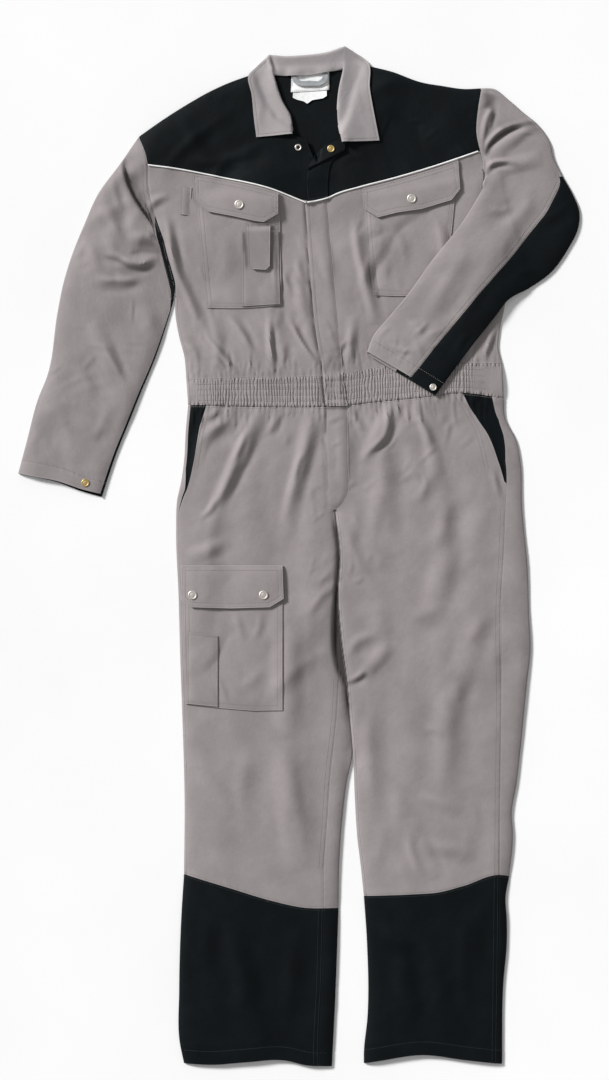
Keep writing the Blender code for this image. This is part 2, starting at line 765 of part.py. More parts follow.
def leg_right():
    seam = GAP / 2
    outer = smooth(LEG_OUTER_RIGHT)
    left = np.array([outer(k / LEG_ROWS) for k in range(LEG_ROWS + 1)])
    inner_line = moved(LEG_INNER, -INSEAM_EASE)[:-1] + LEG_INNER_RIGHT_LOW
    right = stations((CENTRE_SEAT, SEAT_ROWS), (inner_line, LEG_ROWS - SEAT_ROWS))
    plan = trimmed(
        lay(smooth(WAIST_LOW_RIGHT), smooth(SHIN_SEAM_RIGHT), left, right), GAP, seam
    )

    def wrap_outer(station):
        return hip_value(HIP_RIGHT, left[station][1], "wrap")

    def wrap_inner(station):
        x = x_at(INSEAM_RIGHT, right[station][1])
        return max(SEAM_IN, right[station][0] - x)

    panel_behind(
        "leg_back_right", plan, range(LEG_ROWS + 1), range(SEAT_ROWS, LEG_ROWS + 1),
        wrap_outer, wrap_inner, LEG_BACK_COLUMNS, GREY,
    )

    def first(station):
        return hip_value(HIP_RIGHT, left[station][1], "opening") / width_at(plan, station)

    def last(station):
        inset = seam if station < SEAT_ROWS else wrap_inner(station) + GAP
        return 1 - inset / width_at(plan, station)

    panel_front("leg_front_right", plan, first, last, LEG_COLUMNS, LEG_FOLDS, GREY)
    bag_rows = SEAT_ROWS - 1

    def bag_first(station):
        return (wrap_outer(station) + GAP) / width_at(plan, station)

    def bag_last(station):
        return first(station) - GAP / width_at(plan, station)

    hip_pocket("hip_pocket_right", plan, bag_first, bag_last, bag_rows)


def hip_pocket(name, plan, first, last, rows):
    """The pocket bag that shows between the opening's edge and the back panel."""
    columns = between(first, last, 3, 1.0)
    grid = grid_of(plan, columns, flat_back, upper(()))[: rows + 1]
    return wall(name, grid, BLACK)


def leg_left():
    seam = GAP / 2
    outer = smooth(LEG_OUTER_LEFT)
    right = np.array([outer(k / LEG_ROWS) for k in range(LEG_ROWS + 1)])
    inner_line = moved(LEG_INNER, INSEAM_EASE)[:-1] + LEG_INNER_LEFT_LOW
    left = stations((CENTRE_SEAT, SEAT_ROWS), (inner_line, LEG_ROWS - SEAT_ROWS))
    plan = trimmed(
        lay(smooth(WAIST_LOW_LEFT), smooth(SHIN_SEAM_LEFT), left, right), GAP, seam
    )

    def wrap_outer(station):
        place = right[station]
        if place[1] > HIP_LEFT[-1].y:
            return hip_value(HIP_LEFT, place[1], "wrap")
        return place[0] - x_at(OUTSEAM_LEFT, place[1])

    def opening(station):
        y = right[station][1]
        if y > HIP_LEFT[-1].y:
            return hip_value(HIP_LEFT, y, "opening")
        return wrap_outer(station) + GAP

    panel_behind(
        "leg_back_left", plan, range(SEAT_ROWS, LEG_ROWS + 1), range(LEG_ROWS + 1),
        SEAM_IN, wrap_outer, LEG_BACK_COLUMNS, GREY,
    )

    def first(station):
        inset = seam if station < SEAT_ROWS else SEAM_IN + GAP
        return inset / width_at(plan, station)

    def last(station):
        return 1 - opening(station) / width_at(plan, station)

    panel_front("leg_front_left", plan, first, last, LEG_COLUMNS, LEG_FOLDS, GREY)
    bag_rows = max(k for k in range(LEG_ROWS) if right[k][1] > HIP_LEFT[-1].y)

    def bag_first(station):
        return last(station) + GAP / width_at(plan, station)

    def bag_last(station):
        return 1 - (wrap_outer(station) + GAP) / width_at(plan, station)

    hip_pocket("hip_pocket_left", plan, bag_first, bag_last, bag_rows)


def shins():
    seam = GAP / 2
    right_plan = trimmed(lay(
        smooth(SHIN_SEAM_RIGHT), smooth(HEM_RIGHT), stations((SHIN_OUTER_RIGHT, SHIN_ROWS)),
        stations((SHIN_INNER_RIGHT, SHIN_ROWS)),
    ), seam, 0)
    left_plan = trimmed(lay(
        smooth(SHIN_SEAM_LEFT), smooth(HEM_LEFT), stations((SHIN_INNER_LEFT, SHIN_ROWS)),
        stations((SHIN_OUTER_LEFT, SHIN_ROWS)),
    ), seam, 0)

    def wrap_right(station):
        place = right_plan(1, station)
        return place[0] - x_at(INSEAM_RIGHT, place[1])

    def wrap_left(station):
        place = left_plan(1, station)
        return place[0] - x_at(OUTSEAM_LEFT, place[1])

    every = range(SHIN_ROWS + 1)
    for name, plan, wrap in (("right", right_plan, wrap_right), ("left", left_plan, wrap_left)):
        panel_behind("shin_back_" + name, plan, every, every, SEAM_IN, wrap, LEG_BACK_COLUMNS, BLACK)

        def first(station, plan=plan):
            return (SEAM_IN + GAP) / width_at(plan, station)

        def last(station, plan=plan, wrap=wrap):
            return 1 - (wrap(station) + GAP) / width_at(plan, station)

        panel_front("shin_front_" + name, plan, first, last, LEG_COLUMNS, SHIN_FOLDS, BLACK)


# ---- sleeves ----
SLEEVE_STRIP = 32  # how far the top sleeve runs on underneath
SLEEVE_ROWS = 17
SLEEVE_ROWS_RIGHT = 14
SLEEVE_COLUMNS = 9
SLEEVE_UNDER_COLUMNS = 7
UNDER_SHOWS_RIGHT = 5.0  # how far the right sleeve's under panel comes round to the top
ARMHOLE_GAP = 0.9


def sleeve_panels(name, plan, low, high, wrap, top_side, count):
    """The two panels of a sleeve. top_side is the side over which the top sleeve rolls."""
    under_side = RIGHT if top_side == LEFT else LEFT
    mirror = top_side == RIGHT

    def share(offset, side):
        def at(station):
            value = offset(station) if callable(offset) else offset
            part = value / width_at(plan, station)
            return part if side == LEFT else 1 - part

        return at

    def under_seam(station):
        return wrap(station) + GAP

    top = [Column(top_side, SLEEVE_STRIP * k / 2, -1.0) for k in (2, 1)] + roll(top_side)[::-1]
    top += between(share(ROLL, top_side), share(under_seam, under_side), count, 1.0)[1:]
    under = [Column(under_side, wrap, 1.0)] + roll(under_side)
    strip = share(SLEEVE_STRIP + GAP, top_side)
    under += between(share(ROLL, under_side), strip, SLEEVE_UNDER_COLUMNS, -1.0)[1:]
    for part, columns, paint in (("top", top, GREY), ("under", under, BLACK)):
        grid = grid_of(plan, columns, low, high)
        if mirror:
            grid = grid[:, ::-1]
        wall(f"sleeve_{part}_{name}", grid, paint)


def sleeve_right():
    underarm = SLEEVE_INNER_RIGHT[0]
    armhole = chain(YOKE_ARMHOLE_RIGHT[::-1], ARMHOLE_RIGHT[::-1][:-1] + (underarm,))
    plan = lay(
        armhole, smooth(CUFF_RIGHT), stations((SLEEVE_OUTER_RIGHT, SLEEVE_ROWS_RIGHT)),
        stations((SLEEVE_INNER_RIGHT, SLEEVE_ROWS_RIGHT)),
    )
    sleeve_panels(
        "right", trimmed(plan, ARMHOLE_GAP, 0), flat_back, upper(SLEEVE_FOLDS_RIGHT),
        lambda station: UNDER_SHOWS_RIGHT, LEFT, SLEEVE_COLUMNS,
    )


def ground(corner_low, corner_high, cell=4.0, spread_cells=7):
    """A softened height map of all that lies below, as a function of the place."""
    tree = all_below()
    xs = np.arange(corner_low[0], corner_high[0], cell)
    ys = np.arange(corner_low[1], corner_high[1], cell)
    heights = np.array([[height_below(tree, x, y) for x in xs] for y in ys])
    for _ in range(spread_cells):
        heights = neighbours(heights, np.maximum.reduce)
    for _ in range(spread_cells // 2):
        heights = neighbours(heights, lambda stack: sum(stack) / len(stack))

    def at(place):
        column = np.clip((place[0] - corner_low[0]) / cell, 0, len(xs) - 1.001)
        row = np.clip((place[1] - corner_low[1]) / cell, 0, len(ys) - 1.001)
        i, j = int(row), int(column)
        v, u = row - i, column - j
        low = (1 - u) * heights[i, j] + u * heights[i, j + 1]
        high = (1 - u) * heights[i + 1, j] + u * heights[i + 1, j + 1]
        return (1 - v) * low + v * high

    return at


def neighbours(field, combine):
    """Combines each value of a field with the eight around it."""
    padded = np.pad(field, 1, mode="edge")
    rows, columns = field.shape
    stack = [padded[i:i + rows, j:j + columns] for i in range(3) for j in range(3)]
    return combine(stack)


BEND_ROWS = 4  # stations that fan round from the armhole to the forearm
BEND_REACH = 60.0  # how far from the inside of the bend those stations are lifted
SLEEVE_LIFT = 1.0  # how far the bent sleeve clears what it lies on
UNDER_SHOWS_AT = (0, 4, 6, 8, SLEEVE_ROWS)  # stations of the bent sleeve
UNDER_SHOWS = (SEAM_IN, SEAM_IN, 34, 46, 49)  # how far its under panel comes round to the top


def sleeve_left():
    """The bent sleeve: it fans round on the floor, then climbs over the front."""
    lower = SLEEVE_ROWS - BEND_ROWS
    underarm = SLEEVE_INNER_LEFT_UPPER[:1]
    armhole = chain(underarm + ARMHOLE_LEFT[1:], YOKE_ARMHOLE_LEFT)
    inner = stations((SLEEVE_INNER_LEFT_UPPER, BEND_ROWS), (SLEEVE_INNER_LEFT_LOWER, lower))
    outer = stations((SLEEVE_OUTER_LEFT_UPPER, BEND_ROWS), (SLEEVE_OUTER_LEFT_LOWER, lower))
    plan = trimmed(lay(armhole, smooth(CUFF_LEFT), inner, outer), ARMHOLE_GAP, 0)
    places = np.vstack([inner, outer])
    rest = ground(places.min(axis=0), places.max(axis=0))

    def low(place, station):
        lift = rest(place) + SLEEVE_LIFT
        if station < BEND_ROWS:
            near = 1 - np.linalg.norm(place - inner[station]) / BEND_REACH
            lift *= station / BEND_ROWS * max(0.0, near)
        return BACK_Z + (lift if lift > SLEEVE_LIFT else 0.0)

    fold_height = upper(SLEEVE_FOLDS_LEFT)

    def high(place, station):
        return low(place, station) + fold_height(place, station) - BACK_Z

    def wrap(station):
        return float(np.interp(station, UNDER_SHOWS_AT, UNDER_SHOWS))

    sleeve_panels("left", plan, low, high, wrap, LEFT, SLEEVE_COLUMNS)


# ---- what lies on the front ----
def placket():
    black_left = ((12, 640), (10, 612), (11, 588))
    black_right = ((46, 645), (46, 620), (46, 593))
    patch(
        "placket_yoke", by_length((black_left[0], black_right[0])),
        by_length((black_left[-1], black_right[-1])), smooth(black_left), smooth(black_right),
        (3, 2), BLACK, DOUBLE_WALL,
    )
    left = ((11, 585), (15, 520), (20, 455), (28, 370), (36, 325), (42, 270), (44, 250.3))
    right = ((46, 590), (52, 520), (58, 455), (66, 370), (69, 325), (75, 270), (79, 250.3))
    patch(
        "placket", by_length((left[0], right[0])), by_length((left[-1], right[-1])),
        smooth(left), smooth(right), (15, 2), GREY, DOUBLE_WALL,
    )
    fly_left = ((44, 248.8), (44, 210), (46, 150), (49, 80))
    fly_right = ((79, 248.8), (80, 160), (79, 105), (66, 80))
    patch(
        "fly", by_length((fly_left[0], fly_right[0])), by_length((fly_left[-1], fly_right[-1])),
        smooth(fly_left), smooth(fly_right), (8, 2), GREY, DOUBLE_WALL,
    )


def piping(name, points):
    """A narrow cord laid over the yoke seam."""
    half = PIPING_WIDTH / 2
    low = moved_up(points, -half)
    high = moved_up(points, half)
    patch(
        name, smooth(low), smooth(high), by_length((low[0], high[0])),
        by_length((low[-1], high[-1])), (1, PIPING_CELLS), WHITE, WALL,
    )


def moved_up(points, dy):
    return tuple((x, y + dy) for x, y in points)


def chest_right():
    pocket_low = ((-154, 413), (-100, 412), (-30, 417))
    pocket_high = ((-168, 572), (-100, 574), (-34, 578))
    patch(
        "chest_pocket_right", smooth(pocket_low), smooth(pocket_high),
        by_length((pocket_low[0], pocket_high[0])), by_length((pocket_low[-1], pocket_high[-1])),
        (8, 7), GREY,
    )
    phone = ((-96, 415), (-33, 419), (-36, 540), (-96, 538))
    box_patch("phone_pocket", phone, (6, 3), GREY)
    flap_low = ((-174, 592), (-163, 580), (-152, 571), (-110, 564), (-75, 556), (-45, 555), (-33, 562))
    flap_high = ((-177, 633), (-130, 625), (-75, 612), (-33, 601))
    patch(
        "chest_flap_right", by_length(flap_low), smooth(flap_high),
        by_length((flap_low[0], flap_high[0])), by_length((flap_low[-1], flap_high[-1])),
        (3, 10), GREY,
    )
    tab_low = ((-86, 482), (-78, 475), (-55, 474), (-48, 480))
    tab_high = ((-89, 551), (-48, 551))
    patch(
        "phone_pocket_flap", by_length(tab_low), by_length(tab_high),
        by_length((tab_low[0], tab_high[0])), by_length((tab_low[-1], tab_high[-1])), (4, 3), GREY,
    )
    box_patch("pen_loop", ((-199, 591), (-181, 590), (-181, 614), (-199, 616)), (1, 1), GREY)


def chest_left():
    pocket_low = ((121, 433), (178, 432), (240, 440))
    pocket_high = ((107, 580), (180, 586), (258, 600))
    patch(
        "chest_pocket_left", smooth(pocket_low), smooth(pocket_high),
        smooth((pocket_low[0], (112, 500), pocket_high[0])),
        by_length((pocket_low[-1], pocket_high[-1])), (8, 7), GREY,
    )
    flap_low = ((104, 576), (128, 561), (160, 569), (200, 575), (250, 590), (264, 608))
    flap_high = ((102, 609), (160, 624), (210, 639), (261, 656))
    patch(
        "chest_flap_left", by_length(flap_low), smooth(flap_high),
        by_length((flap_low[0], flap_high[0])), by_length((flap_low[-1], flap_high[-1])),
        (3, 10), GREY,
    )


def cargo():
    pocket_low = ((-189, -241), (-138, -247), (-75, -252), (-29, -251))
    pocket_high = ((-193, -16), (-29, -16))
    patch(
        "cargo_pocket", by_length(pocket_low), by_length(pocket_high),
        by_length((pocket_low[0], pocket_high[0])), by_length((pocket_low[-1], pocket_high[-1])),
        (10, 8), GREY,
    )
    box_patch("rule_pocket", ((-187, -240), (-136, -245), (-136, -128), (-187, -122)), (4, 3), GREY)
    flap_low = ((-196, -68), (-180, -81), (-115, -83), (-50, -81), (-27, -67))
    flap_high = ((-197, -12), (-29, -12))
    patch(
        "cargo_flap", by_length(flap_low), by_length(flap_high),
        by_length((flap_low[0], flap_high[0])), by_length((flap_low[-1], flap_high[-1])),
        (3, 8), GREY, DOUBLE_WALL,
    )


def neck_pieces():
    box_patch("neck_label", ((-15, 771), (48, 775), (46, 791), (-13, 788)), (1, 3), WHITE, 1.0)
    box_patch("size_label", ((-8, 752), (40, 755), (40, 770), (-8, 767)), (1, 2), WHITE, 1.0)
    loop_low = ((-12, 783), (0, 779), (32, 781), (44, 787))
    loop_high = ((-12, 789), (0, 786), (32, 788), (44, 792))
    patch(
        "hanger_loop", smooth(loop_low), smooth(loop_high), by_length((loop_low[0], loop_high[0])),
        by_length((loop_low[-1], loop_high[-1])), (1, 6), MID_GREY, 1.6,
    )


COLLAR_OUTER = (
    ((-72, 694), (-77, 720), (-82, 760), (-86, 797), (-70, 818), (-51, 831)),
    ((-51, 831), (0, 829), (50, 835), (74, 845)),
    ((74, 845), (95, 834), (115, 814), (118, 775), (124, 740), (131, 705), (130, 688)),
)
COLLAR_INNER = (
    ((-12, 699), (-14, 725), (-30, 755), (-44, 797)),
    ((-44, 797), (-20, 796), (14, 797), (45, 802), (72, 807)),
    ((72, 807), (64, 770), (62, 725), (69, 685)),
)
COLLAR_STEPS = (8, 5, 8)
COLLAR_PUFF = (0.0, 1.6, 2.6, 3.0, 2.0)  # rise of each column, from the outer edge to the fold


def collar():
    """The collar: a leaf on each front, joined by the band behind the neck."""
    outer = stations(*zip(COLLAR_OUTER, COLLAR_STEPS))
    inner = stations(*zip(COLLAR_INNER, COLLAR_STEPS))
    plan = lay(
        by_length((outer[0], inner[0])), by_length((outer[-1], inner[-1])), outer, inner
    )
    columns = len(COLLAR_PUFF)
    grid = np.zeros((plan.last + 1, columns, 3))
    for station in range(plan.last + 1):
        for column in range(columns):
            grid[station, column, :2] = plan(column / (columns - 1), station)
    settle(grid, DOUBLE_WALL, reach=4.0)
    grid[..., 2] += COLLAR_PUFF
    wall("collar", grid, GREY, thick=DOUBLE_WALL, upright=True)


def snaps():
    snap("snap_neck_right", -3, 677, SILVER, 11)
    snap("snap_neck_left", 58, 672, BRASS, 11)
    snap("snap_chest_right", -100, 582, SILVER)
    snap("snap_chest_left", 184, 592, SILVER)
    snap("snap_cargo_outer", -177, -61, SILVER)
    snap("snap_cargo_inner", -60, -61, SILVER)
    snap("snap_cuff_right", -354, 124, BRASS, 13)
    snap("snap_cuff_left", 219, 281, SILVER, 13)


def main():
    for old in list(bpy.data.objects):
        bpy.data.objects.remove(old, do_unlink=True)
    torso()
    yokes()
    waistband()
    leg_right()
    leg_left()
    shins()
    sleeve_right()
    neck_pieces()
    piping("piping_right", YOKE_SEAM_RIGHT[:-2] + (PIPING_RIGHT_END,))
    piping("piping_left", (PIPING_LEFT_START,) + YOKE_SEAM_LEFT[2:-1] + (PIPING_LEFT_END,))
    chest_right()
    chest_left()
    cargo()
    placket()
    sleeve_left()
    collar()
    snaps()


main()
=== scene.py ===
import json
import math

import bpy
import numpy as np
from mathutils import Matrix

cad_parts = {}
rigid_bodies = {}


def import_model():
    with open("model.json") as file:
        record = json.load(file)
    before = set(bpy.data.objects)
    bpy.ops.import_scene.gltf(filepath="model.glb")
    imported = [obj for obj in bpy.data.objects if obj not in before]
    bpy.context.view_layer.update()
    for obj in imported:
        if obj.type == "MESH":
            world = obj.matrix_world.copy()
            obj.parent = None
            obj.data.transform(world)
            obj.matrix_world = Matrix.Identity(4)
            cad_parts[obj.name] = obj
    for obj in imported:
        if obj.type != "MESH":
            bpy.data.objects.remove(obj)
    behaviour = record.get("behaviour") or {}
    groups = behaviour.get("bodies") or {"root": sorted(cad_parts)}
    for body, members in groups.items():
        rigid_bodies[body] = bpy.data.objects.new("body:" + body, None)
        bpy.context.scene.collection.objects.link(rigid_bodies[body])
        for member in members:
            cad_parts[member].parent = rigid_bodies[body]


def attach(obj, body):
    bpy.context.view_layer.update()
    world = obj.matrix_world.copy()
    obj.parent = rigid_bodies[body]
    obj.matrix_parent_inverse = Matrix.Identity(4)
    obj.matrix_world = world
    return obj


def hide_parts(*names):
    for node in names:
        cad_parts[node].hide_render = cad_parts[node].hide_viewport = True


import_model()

# A long-sleeved boiler suit laid flat. Plans are in millimetres, x to the wearer's left and
# y from the hems to the collar; toModel moves them to the frame's place, in metres.
for name in ("Cube", "Light", "Camera"):  # Blender's startup objects
    if name in bpy.data.objects:
        bpy.data.objects.remove(bpy.data.objects[name], do_unlink=True)
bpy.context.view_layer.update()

cloth = {
    "wall": 1.3,  # one layer, as drawn
    "gap": 0.3,  # between neighbouring pieces
    "backZ": 0.75,  # middle of the back layer
    "frontZ": 5.35,  # middle of the front layer
    "roll": 2.3,  # how far in a rolled edge reaches
    "edgeCalm": 0.6,  # how much of its folds the cloth loses at an outer edge
    "onTop": (1.6, 2.4),  # heights from where to where cloth shows its folds' shade
    "seamIn": 3.6,  # how far in a side seam lies
    "shift": (1.85, -2.6),  # from the plans to the frame's middle
    "sharp": 50,  # edges that turn by more degrees stay sharp
    "lightFrom": (-0.82, 0.57),  # the side of a fold that is drawn lighter
}
sewing = {
    "rows": (2.5, 8.5),  # the two rows beside a seam, in from it
    "hem": 22, "turnUp": 24,  # rows and creases in from the hems and cuffs
    "step": 1.7,
    "above": 0.12,  # the cloth
    "shortest": 4,  # line that is sewn at all
    "lowest": 1.2,  # cloth that is sewn
}
mm = 0.001  # in metres
dice = np.random.default_rng(7)


# Lines through points, read by the share of their length
def smoothLine(points, fine=24):
    knots = np.asarray(points, float)
    span = np.linalg.norm(np.diff(knots, axis=0), axis=1)[:, None]
    slope = np.diff(knots, axis=0) / span
    inner = (slope[:-1] * span[1:] + slope[1:] * span[:-1]) / (span[1:] + span[:-1])
    heading = np.vstack([slope[:1], inner, slope[-1:]])
    t = np.linspace(0, 1, fine, endpoint=False)[:, None]
    rows = []
    for a, b, leave, arrive, length in zip(knots, knots[1:], heading, heading[1:], span):
        rows.append((2 * t**3 - 3 * t**2 + 1) * a + (t**3 - 2 * t**2 + t) * length * leave
                    + (3 * t**2 - 2 * t**3) * b + (t**3 - t**2) * length * arrive)
    return np.vstack(rows + [knots[-1:]])


def byLength(points):  # a function from share of length to place
    points = np.asarray(points, float)
    steps = np.linalg.norm(np.diff(points, axis=0), axis=1)
    points = points[np.append(True, steps > 1e-6)]
    steps = steps[steps > 1e-6]
    reached = np.concatenate([[0], np.cumsum(steps)]) / steps.sum()

    def at(share):
        return np.stack([np.interp(share, reached, points[:, k]) for k in (0, 1)], axis=-1)

    at.length = steps.sum()
    return at


def smooth(points):
    return byLength(smoothLine(points))


def chain(*runs):
    return byLength(np.vstack([smoothLine(points) for points in runs]))


def stations(*runs):  # places along smooth lines, each given as (points, steps)
    places = []
    for points, steps in runs:
        places = places[:-1] + list(smooth(points)(np.arange(steps + 1) / steps))
    return np.array(places)


def xAt(points, y):  # where a line that runs up or down crosses y
    rows = np.array(sorted(points, key=lambda place: place[1]), float)
    return np.interp(y, rows[:, 1], rows[:, 0])


def moved(points, dx):
    return tuple((x + dx, y) for x, y in points)


def beside(points, distance):  # the smooth line moved to its left by a distance
    line = smoothLine(points, 8)
    along = unit(np.gradient(line, axis=0))
    return line + distance * np.stack([-along[:, 1], along[:, 0]], axis=1)


def unit(vectors):
    return vectors / np.maximum(np.linalg.norm(vectors, axis=-1, keepdims=True), 1e-9)


def easeIn(value, low, high):
    t = np.clip((value - low) / (high - low), 0, 1)
    return t * t * (3 - 2 * t)


def fadeEnds(share, start, end):
    return easeIn(share, 0, start) * easeIn(1 - share, 0, end)


def bell(value, width):
    return np.exp(-((value / width) ** 2))


# Height maps: what lies where, in millimetres
mapCell = 1.5
mapX = np.arange(-520, 520, mapCell)
mapY = np.arange(-900, 900, mapCell)


def emptyMap():
    return np.zeros((len(mapY), len(mapX)))


def readMap(field, places):
    u = np.clip((places[..., 0] - mapX[0]) / mapCell, 0, len(mapX) - 1.001)
    v = np.clip((places[..., 1] - mapY[0]) / mapCell, 0, len(mapY) - 1.001)
    j, i = u.astype(int), v.astype(int)
    u, v = u - j, v - i
    low = (1 - u) * field[i, j] + u * field[i, j + 1]
    high = (1 - u) * field[i + 1, j] + u * field[i + 1, j + 1]
    return (1 - v) * low + v * high


def blurMap(field, sigma, lengthwise=None):
    across = np.fft.rfftfreq(len(mapX), mapCell)[None]
    along = np.fft.fftfreq(len(mapY), mapCell)[:, None]
    stretch = (lengthwise or sigma) / sigma
    kernel = np.exp(-2 * (math.pi * sigma) ** 2 * (across**2 + (stretch * along) ** 2))
    return np.fft.irfft2(np.fft.rfft2(field) * kernel, s=field.shape)


def widenMap(field, reach):  # every place takes the highest value near it
    for _ in range(round(reach / mapCell)):
        for axis in (0, 1):
            spread = np.maximum(np.roll(field, 1, axis), np.roll(field, -1, axis))
            field = np.maximum(field, spread)
    return field


def settled(reach, sigma):  # the cloth so far, as what lies over it follows it
    return blurMap(widenMap(topMap, reach), sigma)


def softNoise(sigma, lengthwise=None):
    field = blurMap(dice.standard_normal((len(mapY), len(mapX))), sigma, lengthwise)
    return field / field.std()


def nearLine(points, reach):
    line = np.asarray(points, float)
    if len(line) < 24:
        line = smoothLine(points, 6)
    low, high = line.min(axis=0) - reach, line.max(axis=0) + reach
    j0, j1 = np.searchsorted(mapX, [low[0], high[0]])
    i0, i1 = np.searchsorted(mapY, [low[1], high[1]])
    x, y = np.meshgrid(mapX[j0:j1], mapY[i0:i1])
    nearest = np.full(x.shape, np.inf)
    away, along = np.zeros(x.shape), np.zeros(x.shape)
    run = 0.0
    for a, b in zip(line, line[1:]):
        step = b - a
        length = math.hypot(*step)
        if length < 1e-6:
            continue
        t = np.clip(((x - a[0]) * step[0] + (y - a[1]) * step[1]) / length**2, 0, 1)
        dx, dy = x - a[0] - t * step[0], y - a[1] - t * step[1]
        distance = np.hypot(dx, dy)
        closer = distance < nearest
        nearest[closer] = distance[closer]
        side = np.where(step[0] * dy - step[1] * dx >= 0, 1.0, -1.0)
        away[closer] = (side * distance)[closer]
        along[closer] = (run + t * length)[closer]
        run += length
    heading = unit(line[-1] - line[0])
    return (slice(i0, i1), slice(j0, j1)), away, along, run, heading


creaseShape = {
    "ridge": (0.75, 0.62),  # place and breadth, in widths from the line, on its lit side
    "hollow": (-0.7, 0.75),
    "hollowDepth": 0.55,
    "taper": 0.4,  # share of its length over which an end fades
    "reach": 3.2,
}


def addCrease(field, width, height, points, endWidth=None, free="both"):
    endWidth = endWidth or width
    widest = max(width, endWidth)
    window, away, along, length, heading = nearLine(points, creaseShape["reach"] * widest)
    towards = -heading[1] * cloth["lightFrom"][0] + heading[0] * cloth["lightFrom"][1]
    share = along / max(length, 1e-6)
    u = away / (width + (endWidth - width) * share) * (1 if towards >= 0 else -1)
    ends = easeIn(1 - share, 0, creaseShape["taper"])
    if free == "both":
        ends *= easeIn(share, 0, creaseShape["taper"])
    ridge, hollow = (bell(u - place, breadth)
                     for place, breadth in (creaseShape["ridge"], creaseShape["hollow"]))
    field[window] += height * (ridge - creaseShape["hollowDepth"] * hollow) * ends


def addLip(field, lip):  # steps down on the left of the line and eases back up
    reach, endReach = lip["reach"]
    window, away, along, length, _ = nearLine(lip["points"], 4 * reach)
    share = along / length
    width = reach + (endReach - reach) * share
    ends = fadeEnds(share, *lip["fade"])
    beyond = easeIn(away, *lip["step"])
    down = beyond * np.exp(-((np.maximum(away, 0) / width) ** 1.6))
    up = lip["rise"] * np.exp(-np.abs(away) / lip["riseOver"]) * (1 - beyond)
    field[window] += ends * (up - lip["drop"] * down)


def addRidge(field, x0, y0, x1, y1, width, height):
    window, away, along, length, _ = nearLine(((x0, y0), (x1, y1)), width / 2)
    taper = np.maximum(np.sin(math.pi * along / length), 0) ** 0.8
    near = np.clip(np.abs(away) * 2 / width, 0, 1)
    field[window] += height * taper * (1 + np.cos(math.pi * near)) / 2


seamShape = {
    "width": 1.6,
    "puckers": 16, "fade": 6,  # how far they reach, and over how far they fade
    "slant": 0.5,
}


def addSeam(field, points, depth=0.5, pucker=0.22, pitch=8.0):
    window, away, along, _, _ = nearLine(points, seamShape["puckers"])
    phase = dice.uniform(0, 6.28, 3)
    slant = along + seamShape["slant"] * away
    ripple = sum(np.sin(slant * 6.28 / (pitch * part) + start)
                 for start, part in zip(phase, (1, 1.7, 0.63)))
    fade = seamShape["fade"]
    near = np.exp(-np.abs(away) / fade) * easeIn(seamShape["puckers"] - np.abs(away), 0, fade)
    groove = depth * bell(away, seamShape["width"])
    field[window] += pucker * ripple / 2 * near - groove


def roundEdge(field, points, drop=3.0, reach=9.0):
    window, away, _, _, _ = nearLine(points, 5 * reach)
    near = np.exp(-np.abs(away) / reach)
    field[window] -= near * (drop + cloth["edgeCalm"] * field[window])


def scatterCreases(field, count, box, angle, spread, length, width, height):
    for _ in range(count):
        x, y = dice.uniform(box[0], box[1]), dice.uniform(box[2], box[3])
        turn = math.radians(dice.normal(angle, spread))
        half = dice.uniform(*length) / 2
        bend = dice.normal(0, 0.16) * half
        dx, dy = math.cos(turn), math.sin(turn)
        points = ((x - dx * half, y - dy * half), (x - dy * bend, y + dx * bend),
                  (x + dx * half, y + dy * half))
        addCrease(field, dice.uniform(*width), dice.uniform(*height), points)


def gatherAlong(field, points, side, pitch, length, width, height):
    line = smooth(points)
    place = pitch[0]
    while place < line.length - pitch[0]:
        here, there = line(place / line.length), line((place + 1) / line.length)
        along = there - here
        out = side * np.array([-along[1], along[0]])
        tilt = dice.normal(0, 0.1)
        reach = length[0] + (length[1] - length[0]) * dice.uniform(0, 1) ** 2.5
        end = here + reach * (out + tilt * along)
        middle = here + reach / 2 * (out + tilt * 0.4 * along)
        wide, high = dice.uniform(*width), dice.uniform(*height)
        addCrease(field, wide, high, (here, middle, end), free="end")
        place += dice.uniform(*pitch)


# Grids of places, made into closed shells
def gridNormals(grid):
    across, along = np.gradient(grid, axis=1), np.gradient(grid, axis=0)
    return unit(np.cross(across, along))


def squareRims(grid, normals):  # rims stand upright, so that neighbouring rims face each other
    for column in (0, -1):
        level = np.abs(normals[:, column, 2]) > 0.5
        normals[level, column, :2] = 0
    for row, inner in ((0, 1), (-1, -2)):
        out = grid[inner] - grid[row]
        out[:, 2] = 0
        out = unit(out)
        normals[row] -= (normals[row] * out).sum(axis=-1, keepdims=True) * out
    return unit(normals)


def toModel(points):  # from a plan to the frame's place
    return (points + np.array([*cloth["shift"], 0.0])) * mm


def shellQuads(rows, columns, keep):
    cellRow, cellColumn = np.nonzero(keep)
    a = cellRow * columns + cellColumn
    quads = np.stack([a, a + 1, a + columns + 1, a + columns], axis=1)
    under = rows * columns
    found = [quads, quads[:, ::-1] + under]
    ringed = np.pad(keep, 1)
    sides = (((-1, 0), 0, 1), ((0, 1), 1, 2), ((1, 0), 2, 3), ((0, -1), 3, 0))
    for (di, dj), p, q in sides:
        beyond = ringed[1 + di: rows + di, 1 + dj: columns + dj]
        edge = quads[~beyond[keep]]
        found.append(np.stack([edge[:, q], edge[:, p], edge[:, p] + under, edge[:, q] + under], 1))
    return np.vstack(found)


